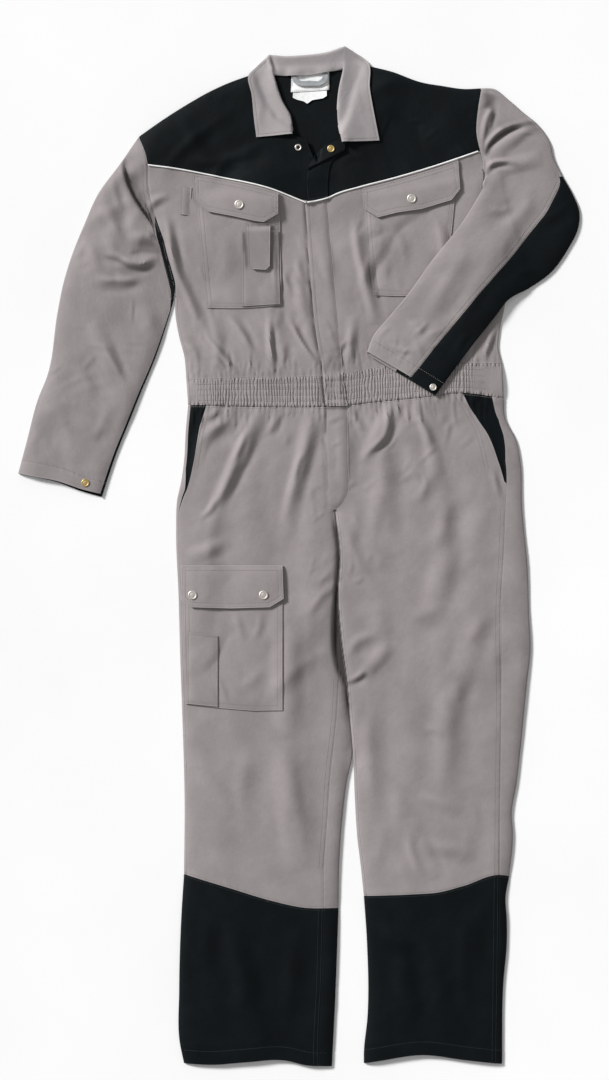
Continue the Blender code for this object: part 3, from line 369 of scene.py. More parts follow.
def meshPiece(name, points, quads, finish, uv=None, shades=None):
    used, quads = np.unique(quads, return_inverse=True)
    quads = quads.reshape(-1, 4)
    points = points[used]
    a, b, c, d = (points[quads[:, k]] for k in range(4))
    volume = (a * np.cross(b, c)).sum() + (a * np.cross(c, d)).sum()
    if volume < 0:
        quads = quads[:, ::-1]
    mesh = bpy.data.meshes.new(name)
    mesh.vertices.add(len(points))
    mesh.vertices.foreach_set("co", toModel(points).astype(np.float32).ravel())
    mesh.loops.add(quads.size)
    mesh.loops.foreach_set("vertex_index", quads.astype(np.int32).ravel())
    mesh.polygons.add(len(quads))
    mesh.polygons.foreach_set("loop_start", np.arange(0, quads.size, 4, dtype=np.int32))
    mesh.update(calc_edges=True)
    if uv is not None:
        layer = mesh.uv_layers.new(name="cloth")
        layer.data.foreach_set("uv", (uv[used] * mm)[quads.ravel()].astype(np.float32).ravel())
    for key, values in (shades or {}).items():
        layer = mesh.attributes.new(key, "FLOAT", "POINT")
        layer.data.foreach_set("value", values[used].astype(np.float32))
    mesh.materials.append(finish)
    mesh.shade_smooth()
    mesh.set_sharp_from_angle(angle=math.radians(cloth["sharp"]))
    return addObject(name, mesh)


def addObject(name, data):
    piece = bpy.data.objects.new(name, data)
    bpy.context.scene.collection.objects.link(piece)
    return piece


def cellCorners(grid, keep):
    return (grid[:-1, :-1][keep], grid[:-1, 1:][keep], grid[1:, 1:][keep], grid[1:, :-1][keep])


def pressOn(grid, thick, keep=None):  # onto the map of the highest cloth so far
    if keep is None:
        keep = np.ones((grid.shape[0] - 1, grid.shape[1] - 1), bool)
    a, b, c, d = cellCorners(grid, keep)
    for u in (0, 1 / 3, 2 / 3, 1):
        for v in (0, 1 / 3, 2 / 3, 1):
            p = (1 - v) * ((1 - u) * a + u * b) + v * ((1 - u) * d + u * c)
            j = np.clip(np.rint((p[:, 0] - mapX[0]) / mapCell).astype(int), 0, len(mapX) - 1)
            i = np.clip(np.rint((p[:, 1] - mapY[0]) / mapCell).astype(int), 0, len(mapY) - 1)
            np.maximum.at(topMap, (i, j), p[:, 2] + thick / 2)


def lengths(grid, axis):
    steps = np.linalg.norm(np.diff(grid, axis=axis), axis=-1)
    start = np.zeros_like(steps.take([0], axis))
    return np.concatenate([start, np.cumsum(steps, axis=axis)], axis=axis)


declared = {}  # the cut of each piece
leastCut = {"side": 10.2, "share": 0.3}  # mm, and the least part of its box that a cut fills


def clothShell(name, grid, finish, slot, thick=None, keep=None, on=None, folds=None):
    thick = thick or cloth["wall"]
    rows, columns = grid.shape[:2]
    if keep is None:
        keep = np.ones((rows - 1, columns - 1), bool)
    normals = squareRims(grid, gridNormals(grid))
    outer, inner = grid + normals * thick / 2, grid - normals * thick / 2
    points = np.vstack([outer.reshape(-1, 3), inner.reshape(-1, 3)])
    across, along = lengths(grid, 1), lengths(grid, 0)
    middle = columns // 2
    u = across - across[:, middle:middle + 1]
    v = np.repeat(along[:, middle:middle + 1], columns, axis=1)
    uv = np.stack([u, v], axis=-1).reshape(-1, 2)
    rim = np.minimum(np.minimum(across, across[:, -1:] - across),
                     np.minimum(along, along[-1:] - along)).ravel()
    folds = foldMap if folds is None else folds
    # painted shade: how dark the fold map draws the cloth's upper surface
    deep = (readMap(folds, grid[..., :2]) * easeIn(grid[..., 2], *cloth["onTop"])).ravel()
    piece = meshPiece(name + "_cloth", points, shellQuads(rows, columns, keep), finish,
                      np.tile(uv, (2, 1)), {"rim": np.tile(rim, 2), "deep": np.tile(deep, 2)})
    pressOn(grid, thick, keep)
    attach(piece, "root")
    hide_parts(name)
    a, b, c, d = cellCorners(grid, keep)
    area = np.linalg.norm(np.cross(c - a, d - b), axis=-1).sum() / 2
    size = (max(across[:, -1].max(), leastCut["side"]), max(along[-1].max(), leastCut["side"]))
    declared[piece.name] = (round(size[0]), round(size[1]), round(area))
    return piece


# Plans: a flat piece from its four edges, by share across and station along
def layPlan(start, end, left, right, trims=(0.0, 0.0)):
    along = np.linspace(0, 1, len(left))[:, None, None]

    def at(shares):
        s = shares[..., None]
        ends = (1 - along) * start(shares) + along * end(shares)
        sides = (1 - s) * left[:, None] + s * right[:, None]
        low = (1 - s) * left[0] + s * right[0]
        high = (1 - s) * left[-1] + s * right[-1]
        places = ends + sides - (1 - along) * low - along * high
        places[0] += trims[0] * unit(places[1] - places[0])
        places[-1] += trims[1] * unit(places[-2] - places[-1])
        return places

    at.rows = len(left)
    at.width = np.linalg.norm(right - left, axis=1)
    return at


def fromLeft(plan, distance):  # share across at a distance in from the left edge
    return distance / plan.width


def fromRight(plan, distance):
    return 1 - distance / plan.width


def spread(first, last, count):
    t = np.linspace(0, 1, count + 1)[None]
    return first[:, None] * (1 - t) + last[:, None] * t


def allRows(plan, shares):
    return plan(np.repeat(shares[None], plan.rows, axis=0))


def lineAt(plan, share):
    return plan(np.full((plan.rows, 1), float(share)))[:, 0]


def raisedTo(height, places):
    return np.concatenate([places, height[..., None]], axis=-1)


def shareOfX(plan, x):  # x is one place, or one for each row
    samples = np.linspace(0, 1, 500)
    places = allRows(plan, samples)
    return np.array([np.interp(at, row, samples)
                     for at, row in zip(np.broadcast_to(x, plan.rows), places[..., 0])])


def lowFlat(places):
    return np.full(places.shape[:-1], cloth["backZ"])


def bodyHigh(places):
    return cloth["frontZ"] + readMap(bodyMap, places)


def gridOf(plan, shares, levels=None, low=lowFlat, high=bodyHigh):
    places = plan(shares)
    bottom = low(places)
    levels = np.ones_like(shares) if levels is None else levels
    height = bottom + (levels + 1) / 2 * (high(places) - bottom)
    return raisedTo(height, places)


rollAngles = np.radians([90, 62, 35, 10, -15, -40, -65])


def rolled(plan, side, wrap, strips=3):  # a strip on top, then the roll down to the back layer
    share = fromLeft if side == "left" else fromRight
    radius = cloth["roll"]
    top = spread(share(plan, wrap), share(plan, radius), strips)[:, :-1]
    edge = np.stack([share(plan, radius * (1 - math.cos(a))) for a in rollAngles], axis=1)
    shares = np.hstack([top, edge])
    levels = np.concatenate([np.ones(strips), np.sin(rollAngles)])
    levels = np.repeat(levels[None], plan.rows, axis=0)
    return shares, levels


def panelBehind(name, finish, plan, wraps, turned, count):
    radius, gap = cloth["roll"], cloth["gap"] / 2
    ends, shares, levels = [], [], []
    for side, wrap, rows in zip(("left", "right"), wraps, turned):
        share = fromLeft if side == "left" else fromRight
        edge, level = rolled(plan, side, wrap)
        inner = np.where(rows, share(plan, radius), share(plan, gap))
        edge = np.where(rows[:, None], edge, inner[:, None])
        level = np.where(rows[:, None], level, -1.0)
        ends.append(inner)
        shares.append(edge if side == "left" else edge[:, ::-1])
        levels.append(level if side == "left" else level[:, ::-1])
    middle = spread(ends[0], ends[1], count)
    shares = np.hstack([shares[0], middle, shares[1]])
    levels = np.hstack([levels[0], -np.ones_like(middle), levels[1]])
    keep = np.ones((plan.rows - 1, shares.shape[1] - 1), bool)
    sides = (shares.shape[1] - count - 1) // 2
    for rows, columns in zip(turned, (slice(0, sides), slice(-sides, None))):
        both = rows[:-1] & rows[1:]
        keep[:, columns] = both[:, None]
    used = np.nonzero(keep.any(axis=0))[0]
    first, last = used[0], used[-1] + 1
    grid = gridOf(plan, shares, levels)
    clothShell(name, grid[:, first:last + 1], *finish, keep=keep[:, first:last])


def panelInFront(name, finish, plan, first, last, columns, on):
    clothShell(name, gridOf(plan, spread(first, last, columns)), *finish, on=on)


# Edges of the cut, as points x, y
sideRight = ((-187, 294), (-190, 330), (-200, 370), (-205, 400), (-206, 430))
armholeRight = ((-206, 430), (-206, 452), (-212, 476), (-219, 500), (-225, 525), (-234, 550),
                (-243, 577), (-250, 610), (-251, 648))
yokeArmholeRight = ((-251, 648), (-254, 665), (-260, 682), (-266, 695))
sideLeft = ((333, 321), (327, 345), (329, 375), (338, 420), (340, 460), (325, 510), (309, 560),
            (304, 600), (303, 640))
armholeLeft = ((303, 640), (300, 660), (297, 672))
yokeArmholeLeft = ((297, 672), (291, 700), (293, 738), (299, 775))
yokeSeamRight = ((-251, 648), (-210, 643), (-130, 628), (-50, 609), (-10, 593), (30, 588))
yokeSeamLeft = ((30, 588), (60, 600), (100, 612), (160, 628), (210, 643), (262, 660), (297, 672))
yokeSeamBack = ((-251, 648), (297, 672))
centreFront = ((60, 300), (57, 330), (48, 400), (38, 500), (30, 588))
centreNeckRight = ((30, 588), (28, 640), (10, 690))
centreNeckLeft = ((30, 588), (32, 640), (38, 680))
shoulderRight = ((-266, 695), (-220, 727), (-180, 752), (-148, 770), (-115, 785), (-84, 796))
shoulderLeft = ((113, 812), (150, 803), (200, 785), (235, 779), (270, 774), (299, 775))
neckRight = ((-84, 796), (-72, 760), (-55, 728), (-30, 706), (10, 690))
neckLeft = ((38, 680), (66, 692), (84, 720), (97, 765), (113, 812))
neckBack = ((-84, 796), (-50, 802), (14, 803), (75, 809), (113, 812))
waistTopRight = ((-187, 294), (-100, 297), (6, 299), (60, 300))
waistTopLeft = ((60, 300), (120, 313), (200, 319), (263, 321), (333, 321))
waistLowRight = ((-184, 252), (-90, 250), (6, 249), (62, 250))
waistLowLeft = ((62, 250), (120, 257), (202, 265), (263, 272), (336, 264))
waistSideRight = ((-187, 294), (-184, 252))
waistSideLeft = ((333, 321), (336, 264))
centreSeat = ((62, 250), (61, 160), (58, 77))
legOuterRight = ((-184, 252), (-188, 210), (-191, 160), (-196, 125), (-202, 98), (-204, 46),
                 (-200, -63), (-197, -172), (-194, -254), (-190, -407), (-191, -522))
legInner = ((58, 77), (66, 5), (63, -63), (68, -131), (77, -200), (82, -260), (86, -330))
legInnerRightLow = ((85, -330), (77, -368), (70, -424), (64, -510), (63, -578))
legInnerLeftLow = ((88.5, -330), (91, -394), (95, -459), (101, -510), (106, -558))
legOuterLeft = ((336, 264), (338, 233), (357, 192), (364, 155), (366, 85), (370, 40), (374, 0),
                (378, -100), (380, -155), (375, -200), (370, -250), (357, -372), (349, -424),
                (351, -455), (345, -525))
shinSeamRight = ((-191, -522), (-118, -544), (-49, -565), (7, -577), (63, -578))
shinSeamLeft = ((106, -558), (184, -555), (227, -552), (270, -541), (330, -523), (345, -525))
hemRight = ((-191, -834), (-144, -836), (-92, -832), (-25, -829), (11, -837), (52, -839))
hemLeft = ((106, -834), (130, -830), (201, -820), (270, -828), (333, -835))
shinOuterRight = ((-191, -522), (-195, -584), (-199, -714), (-198, -800), (-191, -834))
shinInnerRight = ((63, -578), (57, -740), (52, -839))
shinInnerLeft = ((106, -558), (111, -632), (112, -757), (106, -818), (106, -834))
shinOuterLeft = ((345, -525), (339, -558), (341, -600), (341, -632), (335, -705), (333, -835))
inseamRight = ((54, 77), (60, 5), (58, -63), (61, -131), (64, -200), (61, -256), (50, -359),
               (44, -446), (39, -511), (39, -580), (36, -700), (31, -809), (31, -840))
outseamLeft = ((341, 122), (339, 80), (336, 0), (332, -60), (332, -250), (330, -400),
               (329, -523), (327, -700), (325, -840))
hipRight = np.array(((252, 3.6, 30), (216, 3.6, 22), (181, 3.8, 18), (147, 3.8, 15),
                     (112, 9.0, 12.5), (76, 3.6, 3.9), (-600, 3.6, 3.9)))  # y, wrap, opening
hipLeft = np.array(((272, 21, 72), (226, 12, 50), (192, 20, 45), (155, 25, 38), (118, 24.5, 28)))
sleeveOuterRight = ((-266, 695), (-297, 650), (-335, 597), (-355, 552), (-375, 503), (-391, 450),
                    (-400, 405), (-417, 300), (-432, 262), (-450, 195), (-465, 139))
sleeveInnerRight = ((-209, 427), (-218, 396), (-240, 330), (-265, 270), (-285, 220), (-302, 178),
                    (-328, 101))
cuffRight = ((-465, 139), (-440, 134), (-400, 125), (-360, 110), (-328, 101))
outerLeftUpper = ((299, 775), (320, 774), (343, 757), (365, 738), (395, 712), (413, 683),
                  (418, 662), (433, 630))
outerLeftLower = ((433, 630), (450, 600), (461, 570), (460, 550), (440, 507), (415, 473),
                  (378, 446), (343, 426), (324, 402), (276, 341), (222, 268))
innerLeftUpper = ((303, 641), (306, 636), (306, 628), (302, 618), (302, 609))
innerLeftLower = ((302, 609), (268, 553), (218, 490), (175, 430), (150, 400), (120, 363),
                  (110, 336))
cuffLeft = ((110, 336), (140, 318), (180, 294), (222, 268))
sleeveSeamLeft = ((440, 640), (433, 630), (430, 617), (424, 603), (417, 590), (405, 568),
                  (388, 547), (375, 530), (352, 500), (320, 463), (290, 428), (250, 380),
                  (225, 350), (200, 318), (180, 294))

# Folds: a ridge is x0, y0, x1, y1, width, height, and a crease width, height, points, end width
mainFolds = (
    (-214, 520, -158, 380, 30, 3.0), (-165, 395, -95, 298, 22, 2.0), (-52, 400, -48, 300, 20, 1.8),
    (-10, 470, 28, 318, 30, 2.4), (95, 560, 125, 385, 36, 3.6), (85, 400, 88, 305, 26, 2.2),
    (-60, 255, -150, 55, 40, 3.4), (25, 255, -25, 30, 40, 3.4), (-105, 255, -165, 185, 30, 2.2),
    (155, 262, 105, 155, 34, 3.0), (200, 265, 232, 110, 36, 2.7), (150, 180, 150, 0, 50, 2.0),
    (255, 60, 215, -110, 60, 2.8), (-190, 0, -115, 25, 36, 2.0), (40, -40, -20, -200, 70, 2.4),
    (100, -200, 150, -140, 36, 2.4), (-22, -60, -18, -300, 62, 4.0),
    (-30, -300, -5, -520, 60, 2.8), (180, -430, 225, -530, 44, 2.8),
    (195, -470, 290, -495, 40, 2.0), (230, -300, 300, -90, 60, 2.4),
    (-120, -600, -60, -800, 60, 2.4), (200, -600, 240, -790, 60, 2.4),
    (-300, 640, -262, 560, 40, 2.6), (-305, 484, -231, 492, 26, 3.0),
    (-352, 478, -240, 478, 34, 1.6), (-345, 390, -300, 300, 44, 2.4),
    (-420, 250, -330, 200, 40, 2.0),
)
bodyCreases = (
    (8, 1.1, ((-243, 566), (-240, 580), (-229, 588), (-213, 588))),
    (8, 2.3, ((-224, 584), (-212, 550), (-206, 508), (-198, 474), (-178, 430),
              (-162, 393), (-146, 362)), 9),
    (7, 2.2, ((-160, 380), (-142, 356), (-119, 328), (-97, 301)), 5),
    (5, 1.3, ((-164, 368), (-150, 351), (-132, 331), (-118, 312))),
    (8, 1.2, ((-191, 362), (-172, 346), (-158, 326))),
    (9, 1.5, ((-116, 406), (-94, 378), (-80, 354), (-71, 336)), 6),
    (6.5, 1.1, ((-48, 406), (-46, 384), (-45, 350), (-41, 320), (-42, 300)), 4),
    (6, 1.7, ((-18, 404), (1, 366), (16, 342), (35, 318)), 4),
    (8, 0.9, ((-25, 356), (-19, 320))),
    (8, 1.2, ((-24, 480), (-16, 452), (-5, 430))),
    (9, 1.0, ((0, 500), (10, 465), (20, 455))),
    (10, 1.6, ((95, 575), (103, 500), (110, 470), (120, 430), (135, 383))),
    (8, 1.0, ((90, 385), (83, 305))),
    (7, 0.8, ((150, 400), (165, 350), (170, 322))),
    (6, 1.2, ((308, 322), (314, 346), (327, 382))),
    (6, 0.9, ((272, 325), (284, 346), (299, 374))),
    (9, 1.0, ((235, 560), (250, 500), (262, 470))),
    (20, 1.4, ((-54, 247), (-70, 214), (-84, 185), (-102, 147), (-118, 113),
               (-134, 85), (-152, 52)), 6),
    (16, 1.25, ((30, 247), (23, 200), (11, 157), (0, 127), (-11, 88), (-22, 40)), 10),
    (9, 1.0, ((-125, 243), (-152, 222))),
    (14, 0.9, ((-93, 222), (-130, 208), (-160, 190))),
    (8, 0.9, ((-30, 245), (-40, 215), (-52, 197))),
    (7, 1.1, ((84, 247), (97, 229), (112, 210))),
    (11, 1.5, ((152, 264), (154, 240), (152, 218), (143, 196), (130, 183),
               (116, 171), (105, 153)), 6),
    (8, 1.5, ((202, 266), (199, 244), (207, 221), (217, 198), (224, 172)), 9),
    (13, 0.9, ((226, 150), (216, 114), (195, 80))),
    (6, 0.9, ((-84, 212), (-98, 176), (-112, 150))),
    (5, 0.8, ((8, 176), (-2, 150), (-8, 122))),
    (6, 0.8, ((-132, 104), (-148, 74), (-166, 60))),
    (7, 0.8, ((165, 258), (168, 225))),
    (22, 1.3, ((152, 215), (150, 120), (128, 5))),
    (20, 1.3, ((258, 105), (252, 60), (234, 0))),
    (6, 0.8, ((320, 150), (335, 95))),
    (13, 0.4, ((-160, 0), (-118, 22))),
    (27, 1.0, ((-2, -290), (4, -361), (19, -438), (30, -520)), 20),
    (9, 0.6, ((62, -42), (36, -72), (14, -104))),
    (8, 0.5, ((60, -22), (42, -38), (28, -48))),
    (6, 1.1, ((79, -208), (95, -201), (114, -187))),
    (13, 1.0, ((88, -172), (97, -148), (137, -135))),
    (18, 0.6, ((250, -90), (180, -115))),
    (14, 0.5, ((315, -95), (285, -150))),
    (14, 0.5, ((268, -200), (272, -240))),
    (12, 1.1, ((184, -440), (191, -478), (203, -507), (221, -530))),
    (21, 0.6, ((172, -360), (178, -420), (190, -480))),
    (11, 0.6, ((202, -465), (230, -482), (270, -492))),
    (12, 0.7, ((190, -398), (225, -410), (268, -432))),
    (8, 0.6, ((204, -283), (222, -290), (233, -301))),
    (22, 0.9, ((-60, -300), (-80, -380), (-70, -460))),
    (26, 1.0, ((250, -180), (262, -300), (240, -420))),
    (20, 0.9, ((130, -230), (128, -330), (140, -430))),
    (24, 0.9, ((-110, -590), (-80, -690), (-90, -800))),
    (22, 0.8, ((10, -600), (0, -700), (-10, -810))),
    (24, 0.9, ((180, -590), (190, -690), (215, -790))),
    (20, 0.8, ((290, -570), (285, -660), (292, -780))),
    (16, 0.8, ((120, -600), (150, -640), (200, -650))),
)
rightSleeveCreases = (
    (8, 1.6, ((-326, 497), (-306, 494), (-293, 489), (-278, 481), (-262, 478),
              (-245, 487), (-232, 499)), 7),
    (12, 1.5, ((-350, 456), (-312, 449), (-278, 450), (-252, 462)), 9),
    (16, 1.7, ((-286, 515), (-258, 518), (-229, 517)), 12),
    (9, 0.8, ((-305, 640), (-298, 600), (-286, 570))),
    (10, 1.1, ((-322, 362), (-302, 325), (-282, 290)), 7),
    (16, 1.0, ((-262, 425), (-238, 400), (-236, 360))),
    (12, 0.6, ((-375, 330), (-345, 300), (-330, 262))),
    (15, 0.5, ((-405, 250), (-370, 240), (-335, 215))),
    (8, 0.8, ((-315, 470), (-290, 455), (-262, 452))),
    (12, 1.1, ((-330, 590), (-300, 560), (-285, 520))),
    (14, 0.9, ((-350, 540), (-330, 500), (-320, 470))),
    (15, 0.5, ((-430, 220), (-400, 180), (-385, 150))),
    (13, 0.5, ((-300, 262), (-318, 215), (-340, 180))),
)
rightSleeveLip = {
    "drop": 7.5, "rise": 0.8, "riseOver": 6,
    "step": (-1.2, 1.6),  # from where to where the cloth falls, across the line
    "reach": (18, 6),  # at both ends
    "fade": (0.16, 0.3),  # shares of its length over which its ends fade
    "points": ((-292, 672), (-292, 652), (-288, 628), (-280, 606), (-269, 586), (-254, 565),
               (-241, 548), (-233, 538)),
}
leftSleeveRidges = (
    (316, 665, 400, 730, 34, 3.2), (318, 640, 400, 660, 36, 3.0), (318, 752, 306, 690, 22, 1.8),
    (400, 620, 250, 400, 62, 2.6), (330, 560, 180, 350, 50, 1.6), (250, 400, 170, 320, 34, 1.2),
)
leftSleeveShades = (
    (((305, 661), (310, 675), (318, 686), (328, 696), (338, 702), (350, 708), (366, 713)),
     (3.4, 3), 0.9),
    (((328, 704), (350, 715), (366, 719), (382, 719), (404, 714)), (8, 5), 0.34),
    (((321, 736), (318, 722), (313, 706)), (3.6, 2), 0.75),
    (((311, 716), (306, 700), (303, 680), (303, 664)), (2.4, 2), 0.55),
    (((314, 768), (312, 754), (311, 738)), (10, 9), 0.5),
    (((305, 630), (313, 640), (322, 645), (334, 649), (346, 648)), (5, 3), 0.5),
)
leftSleeveCreases = (
    (7, 1.6, ((296, 735), (316, 741), (309, 714), (302, 672))),
    (7, 2.9, ((303, 652), (309, 673), (318, 687), (337, 703), (360, 712), (382, 716),
              (408, 715)), 5),
    (7, 2.3, ((303, 622), (316, 645), (339, 650), (362, 644)), 5),
    (4, 0.7, ((360, 698), (380, 699), (398, 694))),
    (4, 0.9, ((352, 709), (376, 710), (404, 703))),
    (4, 0.8, ((356, 704), (378, 705), (400, 699))),
    (12, 1.0, ((313, 762), (312, 752), (311, 740))),
    (22, 1.2, ((300, 550), (274, 480), (238, 420), (215, 382))),
    (15, 0.5, ((405, 600), (372, 560), (340, 530))),
    (9, 0.7, ((300, 575), (330, 565), (360, 578))),
    (7, 0.6, ((175, 395), (195, 385), (210, 360))),
    (6, 0.7, ((140, 350), (165, 338), (195, 335))),
    (11, 0.5, ((450, 585), (425, 560), (400, 545))),
    (11, 0.4, ((400, 470), (370, 462), (345, 440))),
    (7, 0.7, ((285, 372), (270, 352), (262, 330))),
)

depth = {
    "puff": 2.0,  # how far the middle of a panel stands above its edges
    "ridges": 1.3,
    "creases": 2.5,
    "rough": (2.0, 34), "middle": (0.4, 13), "fine": (0.08, 5),  # unevenness: height, width
    "long": (0.9, 15, 85),  # the same down the legs: height, width, length
    "steady": 0.7,  # how much of the roughness the legs lack
    "calm": (0.55, -180, 110),  # how much of what is scattered goes below the knees, y, over
    "dips": (2.6, 0.9),  # how deep the cloth dips along the placket and the fly
    "dipBeside": 2.2, "dipWidth": 2.4,
    "least": -2.2,  # the lowest that cloth sinks, but at the crotch
    "paintedShade": 0.34,  # painted shade: how much darker the cloth is drawn in its deep folds
    "hollows": (0.35, 3.2),  # from where the painted shade in a fold starts to where it is darkest
    "around": 7,  # how wide the cloth around it is that a fold is measured against
}
bodyMap = emptyMap() + depth["puff"]
for *place, width, height in mainFolds:
    addRidge(bodyMap, *place, width, depth["ridges"] * height)
for width, height, *rest in bodyCreases + rightSleeveCreases:
    addCrease(bodyMap, width, depth["creases"] * height, *rest)
addLip(bodyMap, rightSleeveLip)
small = {"length": (22, 60), "width": (3.5, 8), "height": (0.3, 0.9)}
faint = {"length": (40, 100), "width": (7, 13), "height": (0.15, 0.5)}
broad = {"length": (80, 190), "width": (11, 22), "height": (0.7, 1.9)}
long = {"length": (80, 190), "width": (16, 26), "height": (0.3, 0.8)}
named = bodyMap.copy()
for kind, count, box, angle, turn in (
    (small, 14, (-200, 50, 320, 570), 116, 20),  # chest and belly
    (small, 8, (60, 300, 320, 570), 76, 30),
    (small, 16, (-190, 60, 325, 400), 110, 16),
    (small, 14, (60, 330, 325, 400), 80, 18),
    (small, 24, (-190, 350, 120, 245), 75, 30),
    (faint, 6, (-190, 370, -500, 110), 80, 30),
    (faint, 5, (-170, 330, -820, -560), 80, 40),
    (small, 14, (-420, -225, 260, 650), 20, 45),
    (faint, 10, (-455, -300, 120, 300), 30, 40),
    (small, 16, (20, 130, -60, 120), 45, 40),
    (small, 16, (-230, 290, 640, 780), 10, 40),
    (broad, 8, (-190, 50, 330, 560), 112, 16),
    (broad, 6, (60, 310, 330, 560), 76, 20),
    (broad, 22, (-180, 350, -520, 230), 88, 22),
    (broad, 12, (-170, 320, -810, -590), 88, 25),
    (broad, 9, (-430, -240, 150, 620), 60, 25),
    (broad, 9, (-220, 280, 620, 770), 25, 35),
):
    scatterCreases(bodyMap, count, box, angle, turn, **kind)
inLegs = easeIn(250 - mapY, 0, 70)[:, None]  # the legs hang in long folds
height, width = depth["rough"]
bodyMap += (height * (1 - depth["steady"] * inLegs) * softNoise(width)
            + depth["middle"][0] * softNoise(depth["middle"][1]))
height, *sizes = depth["long"]
bodyMap += depth["fine"][0] * softNoise(depth["fine"][1]) + height * inLegs * softNoise(*sizes)
share, start, over = depth["calm"]
bodyMap -= share * easeIn(start - mapY, 0, over)[:, None] * (bodyMap - named)
for line in (waistTopRight, waistTopLeft):  # pitch, length, width and height of the gathers
    gatherAlong(bodyMap, line, 1, (3.4, 7.5), (12, 62), (1.9, 3.4), (0.6, 1.7))
for line in (waistLowRight, waistLowLeft):
    gatherAlong(bodyMap, line, -1, (3.6, 8), (14, 58), (2.0, 3.8), (0.6, 1.8))
for line in (yokeSeamRight, yokeSeamLeft, armholeRight, yokeArmholeRight, armholeLeft,
             yokeArmholeLeft, waistLowRight, waistLowLeft, shinSeamRight, shinSeamLeft,
             inseamRight, outseamLeft, centreSeat):
    addSeam(bodyMap, line)
for line in (sideRight, legOuterRight, legOuterLeft, shinOuterRight, shinOuterLeft,
             shinInnerRight, shinInnerLeft, sleeveOuterRight, sleeveInnerRight, legInner,
             legInnerRightLow, legInnerLeftLow, shoulderRight, shoulderLeft, sideLeft):
    roundEdge(bodyMap, line)
roundEdge(bodyMap, sleeveInnerRight[:5], drop=2.0, reach=22)
for line in (hemRight, hemLeft, cuffRight):
    addSeam(bodyMap, beside(line, sewing["turnUp"]), depth=0.45, pucker=0.3, pitch=9)

placketEdge = ((11, 585), (15, 520), (20, 455), (28, 370), (36, 325), (42, 270), (44, 250.3))
flyEdge = ((44, 248), (42, 210), (44, 150), (48, 84))
for points, dip in zip((placketEdge, flyEdge), depth["dips"]):
    window, away, _, _, _ = nearLine(moved(points, -depth["dipBeside"]), 12)
    bodyMap[window] -= dip * bell(away, depth["dipWidth"])
# the left leg lies over the right one at the crotch, and a gap opens lower down
crotch = {
    "edge": 3.4, "edgeWidth": 10,  # of the left leg
    "groove": 3.2, "gap": 15.0,  # widths above and below
    "depth": -3.1,
    # between which distances it starts and opens, from its top, and closes and ends, from below
    "starts": (4, 40), "opens": (120, 235), "closes": (110, 160), "ends": (40, 110),
    # how dark the painted shade is in the gap between the legs, and beside it
    "dark": 1.1, "darkBeside": 0.24,
}
window, away, along, length, _ = nearLine(legInner, 40)
over = easeIn(along, *crotch["starts"]) * easeIn(length - along, *crotch["ends"])
opening = easeIn(along, *crotch["opens"]) * easeIn(length - along, *crotch["closes"])
reach = crotch["groove"] + (crotch["gap"] - crotch["groove"]) * opening
shut = np.where(away < 0, over * (1 - easeIn(-away, reach * 0.75, reach + 5)), 0)
edge = over * crotch["edge"] * np.exp(-away / crotch["edgeWidth"])
bodyMap[window] += np.where(away >= 0, edge, 0)
low = shut * crotch["depth"]
bodyMap[window] = (1 - shut) * np.maximum(bodyMap[window], depth["least"]) + low
bodyMap = np.maximum(bodyMap, crotch["depth"])
print(f"folds of the body: {bodyMap.min():.1f} to {bodyMap.max():.1f} mm")


def paintedFoldShade(field):  # painted shade in the hollows of folds: 0 on open cloth, up to 1 in a fold
    hollow = blurMap(field, depth["around"]) - field
    return depth["paintedShade"] * easeIn(hollow, *depth["hollows"])


foldMap = paintedFoldShade(bodyMap)
# painted shade in the gap between the legs, and a lighter painted shade beside it
inGap = 1 - easeIn(-away, reach * 0.55, reach + 4)
besideGap = crotch["darkBeside"] * easeIn(along, 90, 170) * (1 - easeIn(-away, reach, reach + 34))
dark = np.where(away < 1, over * (crotch["dark"] * inGap + besideGap), 0)
foldMap[window] = np.maximum(foldMap[window], dark)


shadeShape = {
    "steep": 2.6,  # how sharply it ends at its sides
    "fade": (0.12, 0.2),  # shares of its length over which its ends fade
    "blur": 1.2,
}


def shadeFolds(field, lines):  # (points, widths at both ends, how dark)
    for points, wide, dark in lines:
        window, away, along, length, _ = nearLine(points, 3 * max(wide))
        share = along / length
        width = wide[0] + (wide[1] - wide[0]) * share
        fade = np.exp(-((np.abs(away) / width) ** shadeShape["steep"]))
        tips = fadeEnds(share, *shadeShape["fade"])
        field[window] = np.maximum(field[window], dark * fade * tips)
    return np.clip(blurMap(field, shadeShape["blur"]), 0, 1)


foldMap = shadeFolds(foldMap, (
    (((-281, 640), (-275, 612), (-262, 586), (-246, 562), (-236, 545)), (15, 5), 0.55),
    (((-290, 648), (-284, 618), (-272, 593), (-254, 568), (-240, 548), (-232, 536)), (4, 4), 0.85),
    (((-266, 523), (-250, 517), (-233, 511)), (17, 12), 0.42),
    (((-222, 512), (-235, 506), (-262, 507), (-284, 500)), (4, 2.5), 0.5),
    (((-326, 497), (-306, 493), (-293, 487), (-278, 479), (-262, 476), (-245, 486)), (2.5, 4), 0.4),
    (((18, -70), (14, -150), (8, -240), (0, -290)), (30, 26), 0.07),
    (((-4, -225), (4, -366), (26, -535)), (25, 16), 0.1),
    (((232, -150), (258, -310), (262, -520)), (62, 58), 0.08),
    (((77, -208), (94, -201), (112, -189)), (2.5, 6), 0.5),
    (((42, 256), (42.5, 230), (41, 200)), (2.2, 2.2), 0.75),
    (((33, 202), (40, 187), (43, 172), (44, 147), (45, 104)), (2.0, 1.8), 0.34),
))


# Finishes, with their colours as sRGB hex
def toLinear(hexColour):
    values = [int(hexColour[k:k + 2], 16) / 255 for k in (1, 3, 5)]
    return (*(v / 12.92 if v <= 0.04045 else ((v + 0.055) / 1.055) ** 2.4 for v in values), 1)


